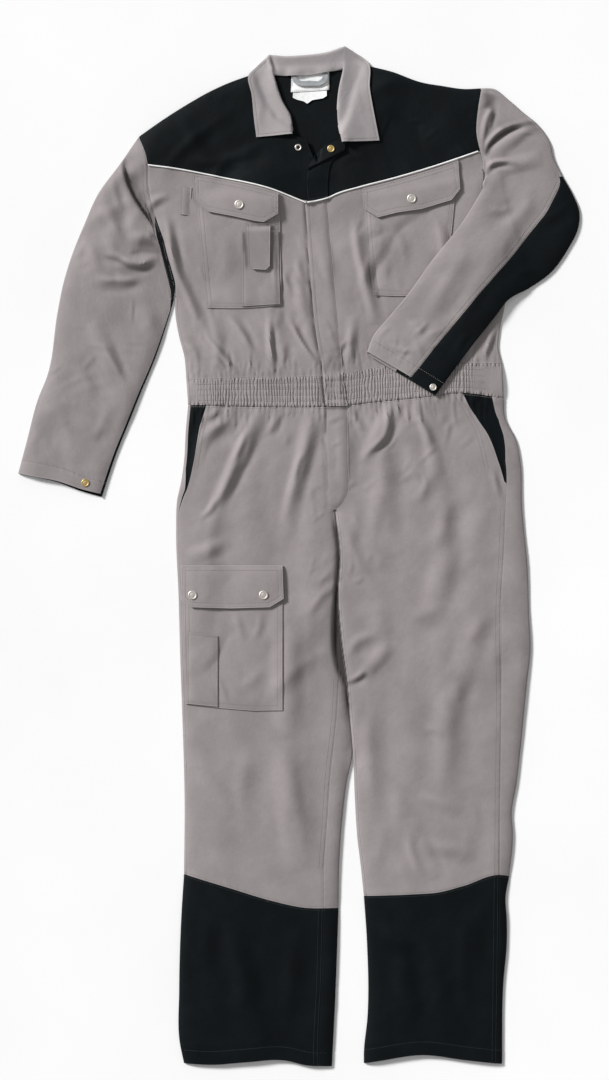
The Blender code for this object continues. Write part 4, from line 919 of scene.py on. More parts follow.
def setNode(node, values):  # a value (node, output) is a link, any other one a setting
    for key, value in values.items():
        if isinstance(value, tuple) and isinstance(value[0], bpy.types.Node):
            node.id_data.links.new(value[0].outputs[value[1]], node.inputs[key])
        elif key == "stops":  # of a colour ramp: place, hex colour
            for k, (place, colour) in enumerate(value):
                stops = node.color_ramp.elements
                stop = stops[k] if k < 2 else stops.new(place)
                stop.position, stop.color = place, toLinear(colour)
        elif isinstance(key, str) and hasattr(node, key) and key not in node.inputs:
            setattr(node, key, value)
        else:
            node.inputs[key].default_value = value


def addNode(tree, kind, values=None):  # a short kind is a shader node
    node = tree.nodes.new(kind if "Node" in kind else "ShaderNode" + kind)
    setNode(node, values or {})
    return node


def newFinish(name, **shaderValues):
    finish = bpy.data.materials.new(name)
    finish.use_nodes = True
    shader = finish.node_tree.nodes["Principled BSDF"]
    setNode(shader, {key.replace("_", " "): value for key, value in shaderValues.items()})
    return finish, finish.node_tree, shader


def mottled(name, noise, stops, **shaderValues):  # coloured by a noise on Object coordinates
    finish, tree, shader = newFinish(name, **shaderValues)
    place = addNode(tree, "TexCoord")
    patches = addNode(tree, "TexNoise", {**noise, "Vector": (place, "Object")})
    colours = addNode(tree, "ValToRGB", {"stops": stops, "Fac": (patches, "Fac")})
    setNode(shader, {"Base Color": (colours, "Color")})
    return finish, tree, shader, place, patches


weave = {
    "drawnPitch": 1.1,  # mm from thread to thread: the real 0.45 mm is too fine to show
    "slant": 28,  # of the ribs, in degrees
    "rubbed": 3.0,  # mm in from a seam or an edge that wear paler
    "shadeTint": (0.1, 0.095, 0.09, 1),  # painted shade: the colour the deepest folds are multiplied by
}


def twill(name, tones, threadTones, sheen, rough):
    finish, tree, shader = newFinish(name, Roughness=rough, IOR=1.5, Specular_IOR_Level=0.12,
                                     Sheen_Weight=sheen, Sheen_Roughness=0.45)
    mix = {"data_type": "RGBA"}
    toMm = (1000, 1000, 1000)  # the uv is in metres
    place = addNode(tree, "UVMap", {"uv_map": "cloth"})
    inMm = addNode(tree, "Mapping", {"Scale": toMm, "Vector": (place, 0)})
    slant = (0, 0, math.radians(weave["slant"]))
    turned = addNode(tree, "Mapping", {"Scale": toMm, "Rotation": slant, "Vector": (place, 0)})
    ribs = addNode(tree, "TexWave", {
        "wave_type": "BANDS", "bands_direction": "X", "Scale": 0.314 / weave["drawnPitch"],
        "Distortion": 1.2, "Detail": 2.0, "Detail Scale": 1.6, "Vector": (turned, 0)})
    slubs = []
    for stretch in ((900, 90, 60), (90, 900, 60)):  # along the warp, then the weft
        drawn = addNode(tree, "Mapping", {"Scale": stretch, "Vector": (place, 0)})
        slubs.append(addNode(tree, "TexNoise", {"Scale": 1.0, "Detail": 2.0, "Roughness": 0.6,
                                                "Vector": (drawn, 0)}))
    cloudy, crumple = (
        addNode(tree, "TexNoise", {"Scale": size, "Detail": detail, "Roughness": mixed,
                                   "Vector": (inMm, 0)})
        for size, detail, mixed in ((0.016, 4.0, 0.62), (0.11, 5.0, 0.66)))
    base = addNode(tree, "ValToRGB", {
        "stops": ((0.32, tones[0]), (0.68, tones[2]), (0.5, tones[1])), "Fac": (cloudy, "Fac")})
    warp, weft = slubs
    threads = addNode(tree, "Math", {"operation": "ADD", 0: (warp, "Fac"), 1: (weft, "Fac")})
    slub = addNode(tree, "ValToRGB", {
        "stops": ((0.78, threadTones[0]), (1.22, threadTones[1])), "Fac": (threads, 0)})
    coloured = addNode(tree, "Mix", {**mix, "blend_type": "MULTIPLY", 0: 0.6, 6: (base, "Color"),
                                     7: (slub, "Color")})
    # seams and folded edges rub paler
    rim = addNode(tree, "Attribute", {"attribute_name": "rim"})
    near = addNode(tree, "MapRange", {"From Min": 0.0, "From Max": weave["rubbed"], "To Min": 1.0,
                                      "To Max": 0.0, "Value": (rim, "Fac")})
    rubbed = addNode(tree, "Math", {"operation": "MULTIPLY", 0: (near, 0), 1: (crumple, "Fac")})
    worn = addNode(tree, "Mix", {**mix, "blend_type": "MIX", 0: (rubbed, 0), 6: (coloured, 2),
                                 7: toLinear(tones[3])})
    # painted shade: the deep attribute darkens the cloth in folds and in the gap between the legs
    deep = addNode(tree, "Attribute", {"attribute_name": "deep"})
    paintedShade = addNode(tree, "Mix", {**mix, "blend_type": "MULTIPLY", 0: (deep, "Fac"), 6: (worn, 2),
                                   7: weave["shadeTint"]})
    dull = addNode(tree, "MapRange", {"To Min": rough - 0.07, "To Max": rough + 0.05,
                                      "Value": (crumple, "Fac")})
    raised = None
    for strength, distance, height in ((1.0, 0.0004, (crumple, "Fac")), (0.4, 0.0001, (threads, 0)),
                                       (0.55, 0.00016, (ribs, "Fac"))):
        under = {"Normal": (raised, 0)} if raised else {}
        raised = addNode(tree, "Bump", {"Strength": strength, "Distance": distance,
                                        "Height": height, **under})
    setNode(shader, {"Base Color": (paintedShade, 2), "Roughness": (dull, 0), "Normal": (raised, 0)})
    return finish


# Polycotton work twill, piece-dyed: a dry, matt face with fine slanting ribs and a faint
# cloudiness from washing
greyTwill = twill("grey_polycotton_twill", ("#8F8888", "#948D8D", "#999292", "#A49D9D"),
                  ("#F2F2F2", "#FFFFFF"), 0.04, 0.74)
# The same twill, a little paler: painted light that draws the collar lighter than the rest of the
# cloth
litCollarTwill = twill("grey_interlined_twill", ("#9C9697", "#A19B9C", "#A6A0A1", "#AFA9AA"),
                    ("#F2F2F2", "#FFFFFF"), 0.04, 0.7)
blackTwill = twill("black_polycotton_twill", ("#04080B", "#060C0F", "#091013", "#10181B"),
                   ("#D8DCDC", "#FFFFFF"), 0.005, 0.66)


def threadFinish(name, colour, lighter):
    # Spun polyester sewing thread: a slight shine along each stitch
    finish, tree, shader, _, grain = mottled(
        name, {"Scale": 700.0, "Detail": 2.0}, ((0.35, colour), (0.65, lighter)),
        Roughness=0.55, IOR=1.5, Sheen_Weight=0.1)
    ply = addNode(tree, "Bump", {"Strength": 0.5, "Distance": 0.0001, "Height": (grain, "Fac")})
    setNode(shader, {"Normal": (ply, 0)})
    return finish


# grey thread drawn darker than the grey cloth: painted shade of the stitched grooves
greyThreadPaintedShade = threadFinish("grey_polyester_thread", "#7E7876", "#938D8A")
blackThread = threadFinish("black_polyester_thread", "#14191B", "#1F2527")


def tapeFinish(name, tones, pitch, rough):
    # Woven polyester tape: smoother than the twill, with a fine square weave, pitch in mm
    finish, tree, shader, place, _ = mottled(
        name, {"Scale": 160.0, "Detail": 3.0}, ((0.3, tones[0]), (0.7, tones[1])),
        Roughness=rough, IOR=1.5)
    check, other = (
        addNode(tree, "TexWave", {"bands_direction": way, "Scale": 314 / pitch,
                                  "Vector": (place, "Object")}) for way in "XY")
    both = addNode(tree, "Math", {"operation": "MULTIPLY", 0: (check, "Fac"), 1: (other, "Fac")})
    bump = addNode(tree, "Bump", {"Strength": 0.6, "Distance": 0.00012, "Height": (both, 0)})
    setNode(shader, {"Normal": (bump, 0)})
    return finish


whitePiping = tapeFinish("white_polyester_piping", ("#E6E6E4", "#F8F8F6"), 0.9, 0.5)
whiteLabel = tapeFinish("white_woven_label", ("#E9EAEA", "#FAFAFA"), 0.8, 0.6)
greyTape = tapeFinish("grey_woven_tape", ("#8B8E90", "#A0A3A5"), 1.0, 0.65)


def capFinish(name, colour, dull, rough):
    # Plated brass press stud: bright, with fine brushing and duller patches from washing
    finish, tree, shader, _, patches = mottled(
        name, {"Scale": 320.0, "Detail": 4.0, "Roughness": 0.7}, ((0.35, dull), (0.6, colour)),
        Metallic=1.0, Roughness=rough)
    matt = addNode(tree, "MapRange", {"To Min": rough + 0.16, "To Max": rough - 0.06,
                                      "Value": (patches, "Fac")})
    bump = addNode(tree, "Bump", {"Strength": 0.3, "Distance": 0.00008, "Height": (patches, "Fac")})
    setNode(shader, {"Roughness": (matt, 0), "Normal": (bump, 0)})
    return finish


silverCap = capFinish("nickel_plated_stud", "#F2EBE4", "#CFC6BE", 0.42)
brassCap = capFinish("pale_brass_stud", "#E0C68C", "#B79A5E", 0.40)
darkSocket = capFinish("blackened_stud_socket", "#3A3A3C", "#1E1E20", 0.4)
print("finishes made")

# Torso, yokes and waistband
plain = emptyMap()
topMap = emptyMap()  # the highest cloth so far, in millimetres above the floor
grey, black = (greyTwill, "grey_twill"), (blackTwill, "black_twill")
torso = {"rows": (50, 70), "leftRows": (110, 10), "columns": 90, "backColumns": 24}


def torsoPieces():
    right = stations(*zip((sideRight, armholeRight), torso["rows"]))
    left = stations(*zip((sideLeft, armholeLeft), torso["leftRows"]))
    waistLine = chain(waistTopRight, waistTopLeft)
    gap, seamIn = cloth["gap"], cloth["seamIn"]
    back = layPlan(waistLine, smooth(yokeSeamBack), right, left, (gap / 2, gap / 2))
    row = np.arange(back.rows)
    turned = (row <= torso["rows"][0], row <= torso["leftRows"][0])
    panelBehind("back_body", grey, back, (seamIn, seamIn), turned, torso["backColumns"])
    front = layPlan(waistLine, chain(yokeSeamRight, yokeSeamLeft), right, left, (gap / 2, gap / 2))
    heights = lineAt(front, 0.5)[:, 1]
    middle = shareOfX(front, xAt(centreFront, heights))
    inset = [np.where(rows, seamIn + gap, gap / 2) for rows in turned]
    half = gap / 2 / front.width
    for name, first, last in (("front_right", fromLeft(front, inset[0]), middle - half),
                              ("front_left", middle + half, fromRight(front, inset[1]))):
        panelInFront(name, grey, front, first, last, torso["columns"], "back_body")


yoke = {"shoulder": 60, "neck": 50, "columns": 62, "backShoulder": 36, "backNeck": 24,
        "backColumns": 30}


def yokePieces():
    gap, seamIn = cloth["gap"], cloth["seamIn"]
    trims = (gap / 2, gap / 2)
    shoulder, neck = yoke["backShoulder"], yoke["backNeck"]
    outline = stations((shoulderRight, shoulder), (neckBack, neck), (shoulderLeft, shoulder))
    marks = (yokeSeamBack[0][0], neckBack[0][0], shoulderLeft[0][0], yokeSeamBack[-1][0])
    xs = [np.linspace(a, b, count + 1)[:-1]
          for a, b, count in zip(marks, marks[1:], (shoulder, neck, shoulder))]
    xs = np.concatenate(xs + [marks[-1:]])
    low = np.stack([xs, np.interp(xs, *zip(*yokeSeamBack))], axis=1)
    back = layPlan(smooth(yokeArmholeRight), smooth(yokeArmholeLeft), low, outline, trims)
    row = np.arange(back.rows)
    turned = (row < 0, (row <= shoulder) | (row >= shoulder + neck))
    panelBehind("back_yoke", black, back, (seamIn, seamIn), turned, yoke["backColumns"])
    shoulder, neck = yoke["shoulder"], yoke["neck"]
    for side, seam, ends, runs in (
        ("right", yokeSeamRight, (yokeArmholeRight, centreNeckRight),
         ((shoulderRight, shoulder), (neckRight, neck))),
        ("left", yokeSeamLeft, (centreNeckLeft, yokeArmholeLeft),
         ((neckLeft, neck), (shoulderLeft, shoulder))),
    ):
        plan = layPlan(smooth(ends[0]), smooth(ends[1]), stations((seam, shoulder + neck)),
                       stations(*runs), trims)
        row = np.arange(plan.rows)
        inset = np.where(row <= shoulder if side == "right" else row >= neck, seamIn + gap, gap / 2)
        panelInFront(f"yoke_front_{side}", black, plan, fromLeft(plan, gap / 2),
                     fromRight(plan, inset), yoke["columns"], "back_yoke")


waist = {
    "rows": 26,
    "backColumns": 60,
    "pitch": 0.95,  # columns, fine enough for the gathers
    "gather": 4.9,  # from one gather to the next
    "rise": 2.0,
    "puff": 0.9,
    "elasticRows": 4,
    "heldDown": 0.62,  # how high the band stands at a row, against between two
    "beneathPlacket": 0.85,  # how much of the gathers the placket presses flat
    "sideTab": 315,
    "seatOfPlacket": (34, 60),  # smooth beneath the placket
    "gathersStart": (-184, -168, -120),  # x where they start, are plain and are full
    "gathersEnd": (272, 292),
}
waistKnots = np.linspace(-220, 360, 120)
waistDice = {  # the same for all the pieces of the band
    "wander": np.cumsum(dice.normal(0, 0.7, 120)),
    "lean": np.convolve(dice.normal(0, 3.2, 124), np.ones(5) / 5, mode="valid"),
    "strength": dice.uniform(0.35, 1.2, (120, 6)),
    "shift": dice.normal(0, 1.05, (120, 6)),
}


def gatherHeight(places, share, beneath=waist["beneathPlacket"]):
    x = places[..., 0]
    bands = waist["elasticRows"] + 1
    band = share * bands
    last = len(waistKnots) - 1.01

    def fromTable(table):
        place = np.clip((x - waistKnots[0]) / (waistKnots[1] - waistKnots[0]), 0, last)
        k, row = place.astype(int), np.clip(band, 0, bands - 0.01).astype(int)
        u, v = place - k, band - row
        return ((1 - u) * (1 - v) * table[k, row] + u * (1 - v) * table[k + 1, row]
                + (1 - u) * v * table[k, row + 1] + u * v * table[k + 1, row + 1])

    turn = 2 * math.pi * x / waist["gather"] + np.interp(x, waistKnots, waistDice["wander"])
    turn = turn + share * np.interp(x, waistKnots, waistDice["lean"])
    turn = turn + fromTable(waistDice["shift"])
    wave = np.abs(np.sin(turn / 2)) ** 0.8  # round gathers with narrow valleys
    held = waist["heldDown"]
    rows = held + (1 - held) * np.abs(np.sin(math.pi * band)) ** 0.7
    start, steep, full = waist["gathersStart"]
    dense = easeIn(x, start, full) * 0.8 + 0.2 * easeIn(x, start, steep)
    dense = dense * (1 - easeIn(x, *waist["gathersEnd"]))
    low, high = waist["seatOfPlacket"]
    dense = dense * (1 - beneath * easeIn(x, low - 6, low) * (1 - easeIn(x, high, high + 6)))
    rise = waist["rise"] * fromTable(waistDice["strength"])
    return dense * (waist["puff"] * rows + rise * rows * (wave - 0.5))


def waistPieces():
    gap, seamIn = cloth["gap"], cloth["seamIn"]
    sides = (stations((line, waist["rows"])) for line in (waistSideRight, waistSideLeft))
    plan = layPlan(chain(waistTopRight, waistTopLeft), chain(waistLowRight, waistLowLeft), *sides,
                   (gap / 2, gap))
    turned = (np.ones(plan.rows, bool),) * 2
    panelBehind("waistband_back", grey, plan, (seamIn, seamIn), turned, waist["backColumns"])
    centre, tab = waistTopLeft[0][0], waist["sideTab"]
    share = np.linspace(0, 1, plan.rows)[:, None]
    for name, first, last in (
        ("waistband_front_right", fromLeft(plan, seamIn + gap), shareOfX(plan, centre - gap / 2)),
        ("waistband_front_left", shareOfX(plan, centre + gap / 2), shareOfX(plan, tab - gap / 2)),
        ("waist_side_tab_left", shareOfX(plan, tab + gap / 2), fromRight(plan, seamIn + gap)),
    ):
        wide = float((last - first).mean() * plan.width.mean())
        grid = gridOf(plan, spread(first, last, max(6, round(wide / waist["pitch"]))))
        grid[..., 2] += gatherHeight(grid, np.broadcast_to(share, grid.shape[:2]))
        clothShell(name, grid, *grey, on="waistband_back")


# Legs and their black lower parts
leg = {
    "seat": 70,  # rows from the waist down to the crotch, of all the rows
    "rows": 252,
    "columns": 84, "backColumns": 10,
    "bagColumns": (10, 14), "bagRows": 57,
    "bagDrop": 0.7,  # how far the pocket bags lie below the front
    "apart": 0.5,  # half the gap between the legs
}


def edgeAt(edge, column, outer):  # a measure of a hip pocket's edge beside each station
    return np.interp(outer[:, 1], edge[::-1, 0], edge[::-1, column])


def legPieces():
    gap, seamIn = cloth["gap"], cloth["seamIn"]
    seat, rows = leg["seat"], leg["rows"]
    below = np.arange(rows + 1) >= seat
    every = np.ones(rows + 1, bool)
    # the right leg
    outer = stations((legOuterRight, rows))
    inner = stations((centreSeat, seat),
                     (moved(legInner, -leg["apart"])[:-1] + legInnerRightLow, rows - seat))
    plan = layPlan(smooth(waistLowRight), smooth(shinSeamRight), outer, inner, (gap, gap / 2))
    inWrap = np.maximum(seamIn, inner[:, 0] - xAt(inseamRight, inner[:, 1]))
    wraps = (edgeAt(hipRight, 1, outer), inWrap)
    panelBehind("leg_back_right", grey, plan, wraps, (every, below), leg["backColumns"])
    first = fromLeft(plan, edgeAt(hipRight, 2, outer))
    last = fromRight(plan, np.where(below, inWrap + gap, gap / 2))
    panelInFront("leg_front_right", grey, plan, first, last, leg["columns"], "leg_back_right")
    bag = spread(fromLeft(plan, wraps[0] + gap), first - gap / plan.width, leg["bagColumns"][0])
    hipBag("hip_pocket_right", plan, bag, leg["bagRows"], "leg_back_right")
    # the left leg
    outer = stations((legOuterLeft, rows))
    inner = stations((centreSeat, seat),
                     (moved(legInner, leg["apart"])[:-1] + legInnerLeftLow, rows - seat))
    plan = layPlan(smooth(waistLowLeft), smooth(shinSeamLeft), inner, outer, (gap, gap / 2))
    inBag = outer[:, 1] > hipLeft[-1, 0]
    wrap = np.where(inBag, edgeAt(hipLeft, 1, outer), outer[:, 0] - xAt(outseamLeft, outer[:, 1]))
    panelBehind("leg_back_left", grey, plan, (seamIn, wrap), (below, every), leg["backColumns"])
    first = fromLeft(plan, np.where(below, seamIn + gap, gap / 2))
    last = fromRight(plan, np.where(inBag, edgeAt(hipLeft, 2, outer), wrap + gap))
    panelInFront("leg_front_left", grey, plan, first, last, leg["columns"], "leg_back_left")
    bag = spread(last + gap / plan.width, fromRight(plan, wrap + gap), leg["bagColumns"][1])
    hipBag("hip_pocket_left", plan, bag, int(inBag.sum()), "leg_back_left")


def hipBag(name, plan, shares, rows, under):
    grid = gridOf(plan, shares)[:rows]
    middle = np.sin(np.linspace(0, math.pi, grid.shape[1]))
    grid[..., 2] -= leg["bagDrop"] * (0.4 + middle)
    clothShell(name, grid, *black, on=under, folds=plain)


shin = {"rows": 98, "columns": 80, "backColumns": 14}


def shinPieces():
    gap, rows = cloth["gap"], shin["rows"]
    every = np.ones(rows + 1, bool)
    for side, top, hem, left, right, seam in (
        ("right", shinSeamRight, hemRight, shinOuterRight, shinInnerRight, inseamRight),
        ("left", shinSeamLeft, hemLeft, shinInnerLeft, shinOuterLeft, outseamLeft),
    ):
        plan = layPlan(smooth(top), smooth(hem), stations((left, rows)), stations((right, rows)),
                       (gap / 2, 0))
        edge = lineAt(plan, 1)
        wrap = edge[:, 0] - xAt(seam, edge[:, 1])
        panelBehind(f"shin_back_{side}", black, plan, (cloth["seamIn"], wrap), (every, every),
                    shin["backColumns"])
        panelInFront(f"shin_front_{side}", black, plan, fromLeft(plan, cloth["seamIn"] + gap),
                     fromRight(plan, wrap + gap), shin["columns"], f"shin_back_{side}")


# Sleeves: a grey top that turns under, and a black under-sleeve
sleeve = {
    "under": {"right": 32, "left": 56},  # how far the top sleeve runs on underneath
    "showsRight": 3.0,  # how far the right sleeve's under panel comes round to the top
    # the under panel's wedge at the armpit: distance from the armhole, length along it
    "wedge": ((0, 138), (5, 128), (9, 112), (10.5, 80), (14, 50), (17, 24), (20, 0)),
    "rows": 224, "leftRows": (70, 160),  # the left one's above and below the elbow
    "columns": 56, "underColumns": 12, "stripColumns": 6, "wrapColumns": 10,
    "puffLeft": 1.2,
    "unevenLeft": ((0.7, 30), (0.25, 12), (0.07, 5)),  # heights and widths
    "creasesLeft": 2.0,
    "settle": (18, 18),  # how broadly the left one lies over what is below it
    "above": 1.0,
    "fullAbove": 3.0,  # over cloth that is this high it is lifted in full
    "freeFrom": 0.6,  # share of the way to the elbow from where it lies free
    "inFold": 60,  # how far from its inner edge the fold over the chest reaches
    "sharedFolds": (1, 16),  # from the armhole, where its folds are still the body's
    "cuffRows": 5,  # over which the upper layer is drawn back
    # how far the lower layer shows beyond the upper one at both ends of the cuff
    "peek": {"right": (0.6, 4.6), "left": (4.0, 5.0)},
    "armholeGap": 0.5,
}


def sleevePieces(name, plan, wrap, low=lowFlat, high=bodyHigh, on=None, folds=None):
    under, gap, radius = sleeve["under"][name], cloth["gap"], cloth["roll"]
    turn, level = rolled(plan, "left", radius, 1)
    strip = spread(fromLeft(plan, under), fromLeft(plan, radius), sleeve["stripColumns"])
    panel = spread(fromLeft(plan, radius), fromRight(plan, wrap + gap), sleeve["columns"])[:, 1:]
    shares = np.hstack([strip, turn[:, ::-1], panel])  # from the back layer up
    levels = np.hstack([-np.ones_like(strip), level[:, ::-1], np.ones_like(panel)])
    grid = gridOf(plan, shares, levels, low, high)
    pull = (levels[-1] + 1) / 2 * np.interp(shares[-1], (0.25, 1), sleeve["peek"][name])
    for back in range(sleeve["cuffRows"]):
        inward = unit(grid[-2 - back, :, :2] - grid[-1 - back, :, :2])
        grid[-1 - back, :, :2] += inward * (pull * (1 - back / sleeve["cuffRows"]))[:, None]
    clothShell(f"sleeve_top_{name}", grid, *grey, on=on, folds=folds)
    edge, level = rolled(plan, "right", wrap, sleeve["wrapColumns"])
    flat = spread(fromRight(plan, radius), fromLeft(plan, under + gap), sleeve["underColumns"])
    levels = np.hstack([level, -np.ones_like(flat)])
    grid = gridOf(plan, np.hstack([edge, flat]), levels, low, high)
    return clothShell(f"sleeve_under_{name}", grid, *black, on=on, folds=plain)


def sleeveRight():
    rows = sleeve["rows"]
    armhole = chain(yokeArmholeRight[::-1], armholeRight[::-1][:-1] + (sleeveInnerRight[0],))
    plan = layPlan(armhole, smooth(cuffRight), stations((sleeveOuterRight, rows)),
                   stations((sleeveInnerRight, rows)), (sleeve["armholeGap"], 0))
    inner = lineAt(plan, 1)
    away = np.linalg.norm(inner - inner[0], axis=1)
    sleevePieces("right", plan, sleeve["showsRight"] + np.interp(away, *zip(*sleeve["wedge"])))


def sleeveLeft():
    bend, lower = sleeve["leftRows"]
    armhole = chain(innerLeftUpper[:1] + armholeLeft[1:], yokeArmholeLeft)
    inner = stations((innerLeftUpper, bend), (innerLeftLower, lower))
    outer = stations((outerLeftUpper, bend), (outerLeftLower, lower))
    plan = layPlan(armhole, smooth(cuffLeft), inner, outer, (sleeve["armholeGap"], 0))
    folds = emptyMap() + sleeve["puffLeft"]
    for *place, width, height in leftSleeveRidges:
        addRidge(folds, *place, width, depth["ridges"] * height)
    for width, height, *rest in leftSleeveCreases:
        addCrease(folds, width, sleeve["creasesLeft"] * height, *rest)
    scatterCreases(folds, 16, (180, 440, 320, 640), 52, 20, **faint)
    scatterCreases(folds, 8, (130, 230, 280, 380), 55, 40, **small)
    scatterCreases(folds, 7, (180, 430, 340, 620), 50, 15, **long)
    folds += sum(height * softNoise(width) for height, width in sleeve["unevenLeft"])
    addSeam(folds, sleeveSeamLeft[1:])
    addSeam(folds, beside(cuffLeft, sewing["turnUp"]), depth=0.45, pucker=0.3)
    for line in (outerLeftUpper, outerLeftLower, innerLeftLower):
        roundEdge(folds, line)
    window, away, _, _, _ = nearLine(armholeLeft + yokeArmholeLeft[1:], 40)
    own = np.ones_like(folds)
    own[window] = easeIn(np.abs(away), *sleeve["sharedFolds"])
    folds = np.maximum(own * folds + (1 - own) * bodyMap, depth["least"])
    rest = settled(*sleeve["settle"]) + sleeve["above"]
    inBend = np.minimum(np.arange(plan.rows) / bend, 1.0)[:, None]

    def lift(places):
        near = 1 - np.linalg.norm(places - inner[:, None], axis=-1) / sleeve["inFold"]
        free = easeIn(inBend, sleeve["freeFrom"], 1.0)
        eased = inBend * (free + (1 - free) * np.clip(near, 0, 1))
        below = readMap(rest, places)
        return below * easeIn(below, sleeve["above"], sleeve["fullAbove"]) * eased

    def low(places):
        return cloth["backZ"] + lift(places)

    def high(places):
        return low(places) + cloth["frontZ"] - cloth["backZ"] + readMap(folds, places)

    seam = smooth(sleeveSeamLeft)(np.linspace(0, 1, 300))
    shares = np.linspace(0.02, 1, 240)
    places = allRows(plan, shares)
    wrap = np.full(plan.rows, cloth["seamIn"])
    for row in range(bend, plan.rows):
        apart = np.linalg.norm(places[row][:, None] - seam[None], axis=-1).min(axis=1)
        wrap[row] = max((1 - shares[apart.argmin()]) * plan.width[row], cloth["seamIn"])
    wrap = np.convolve(np.pad(wrap, 4, mode="edge"), np.ones(9) / 9, mode="valid")
    piece = sleevePieces("left", plan, wrap, low, high, "front_left",
                         shadeFolds(paintedFoldShade(folds), leftSleeveShades))
    piece.data.materials.append(greyTwill)  # above the elbow the turn is of the top sleeve's cloth
    elbow = (sleeveSeamLeft[1][1] + cloth["shift"][1]) * mm
    for face in piece.data.polygons:
        face.material_index = 1 if face.center.y > elbow and face.center.z > 0.0025 else 0


torsoPieces()
yokePieces()
waistPieces()
legPieces()
shinPieces()
sleeveRight()
print("body and right sleeve laid")

# Stitch lines, gathered as the cloth is laid
stitchLines = {"body": [], "details": [], "dark": []}


def sew(group, line):
    line = byLength(line)
    if line.length < sewing["shortest"]:
        return
    places = line(np.linspace(0, 1, max(3, round(line.length / sewing["step"]))))
    height = readMap(topMap, places)
    onCloth = height > sewing["lowest"]
    if onCloth.sum() > 2:
        sewn = np.column_stack([places, height + sewing["above"]])
        stitchLines[group].append(sewn[onCloth])


def insetLine(grid, edge, inset):
    line, inner = {"L": (grid[:, 0], grid[:, 1]), "R": (grid[:, -1], grid[:, -2]),
                   "B": (grid[0], grid[1]), "T": (grid[-1], grid[-2])}[edge]
    line = line[:, :2] + inset * unit(inner[:, :2] - line[:, :2])
    along = np.concatenate([[0], np.cumsum(np.linalg.norm(np.diff(line, axis=0), axis=1))])
    return line[(along >= inset) & (along <= along[-1] - inset)]


def sewBody():
    rows = sewing["rows"]
    mirrored = tuple(-row for row in rows)
    for line, sides, group in (
        (armholeRight[1:], (rows[0], 9), "body"), (yokeArmholeRight, rows[:1], "body"),
        (armholeLeft + yokeArmholeLeft[1:], (-rows[0], -9), "body"),
        (inseamRight[4:-4], mirrored, "body"), (inseamRight[-4:], mirrored, "dark"),
        (outseamLeft[1:-2], mirrored, "body"), (outseamLeft[-3:], mirrored, "dark"),
        (shinSeamRight, (3,), "body"), (shinSeamLeft, (3,), "body"),
        (shinSeamRight, (-3,), "dark"), (shinSeamLeft, (-3,), "dark"),
        (hemRight, (sewing["hem"],), "dark"), (hemLeft, (sewing["hem"],), "dark"),
        (cuffRight, (sewing["turnUp"],), "body"),
        (waistLowRight, (-2.5, 2.5), "body"), (waistLowLeft, (-2.5, 2.5), "body"),
        (((-162, 235), (-170, 200), (-178, 150)), (3, 9), "body"),  # beside the hip pockets
        (((264, 270), (297, 213), (313, 152)), (-3, -9), "body"),
    ):
        for side in sides:
            sew(group, beside(line, side))
    high = chain(waistTopRight, waistTopLeft)
    low = chain(waistLowRight, waistLowLeft)
    bands = waist["elasticRows"] + 1
    share = np.linspace(0.035, 0.94, 400)
    for row in range(1, bands):
        sew("body", high(share) * (1 - row / bands) + low(share) * row / bands)


# What is sewn onto the front: inset rows, sunk edges and soft bulges are in mm
onFront = {
    "puff": (2, 9),  # from how far in, and over how far, a sewn piece puffs up
    "lift": 6,  # how far in a free edge stands up
    "row": (0.3, 1.1),  # depth and width of a row of stitches
    "sunk": (0.55, 7),  # how much more than its thickness an edge sinks, and how far in
}


def laid(name, finish, edges, on, thick=None, sewn="LRBT", rows=(2.4, 8.4), puff=0.8, lift=0.9,
         sunk="", stitched=None, group="details", pitch=2.4, extra=None, settle=(3, 1.5),
         shades=()):
    start, end, left, right = edges
    thick = thick or cloth["wall"]
    stitched = sewn if stitched is None else stitched
    count = max(6, round(max(left.length, right.length) / pitch))
    columns = max(6, round(max(start.length, end.length) / pitch))
    t = np.linspace(0, 1, count + 1)
    plan = layPlan(start, end, left(t), right(t))
    places = allRows(plan, np.linspace(0, 1, columns + 1))
    across, along = lengths(places, 1), lengths(places, 0)
    away = {"L": across, "R": across[:, -1:] - across, "B": along, "T": along[-1:] - along}
    rest = settled(*settle)
    height = readMap(rest, places) + cloth["gap"] + thick / 2
    near = np.minimum.reduce([away[e] for e in sewn])
    inset, over = onFront["puff"]
    height += puff * (1 - np.exp(-np.maximum(near - inset, 0) / over))
    dip, wide = onFront["row"]
    sink, inwards = onFront["sunk"]
    for edge in "LRBT":
        if edge not in sewn:
            height += lift * np.exp(-away[edge] / onFront["lift"])
        if edge in stitched:
            for inset in rows:
                height -= dip * bell(away[edge] - inset, wide)
        if edge in sunk:
            height -= (thick + sink) * bell(away[edge], inwards)
    if extra is not None:
        height += extra(places)
    grid = raisedTo(height, places)
    clothShell(name, grid, *finish, thick=thick, on=on,
               folds=shadeFolds(emptyMap(), shades) if shades else plain)
    for edge in stitched:
        for inset in rows:
            sew(group, insetLine(grid, edge, inset))


def between(low, high, lowLine=byLength, highLine=byLength):  # the four edges of a piece
    return (lowLine(low), highLine(high), byLength((low[0], high[0])),
            byLength((low[-1], high[-1])))


def upright(left, right):  # the same, from its two long edges
    *sides, start, end = between(left, right, smooth, smooth)
    return (start, end, *sides)


def crest(x, y, wide, tall):  # a soft bulge
    def at(places):
        return tall * np.exp(-((places[..., 0] - x) ** 2 + (places[..., 1] - y) ** 2) / wide**2)
    return at


def creasedBy(*creases):
    own = emptyMap()
    for width, height, *rest in creases:
        addCrease(own, width, height, *rest)
    return lambda places: readMap(own, places)


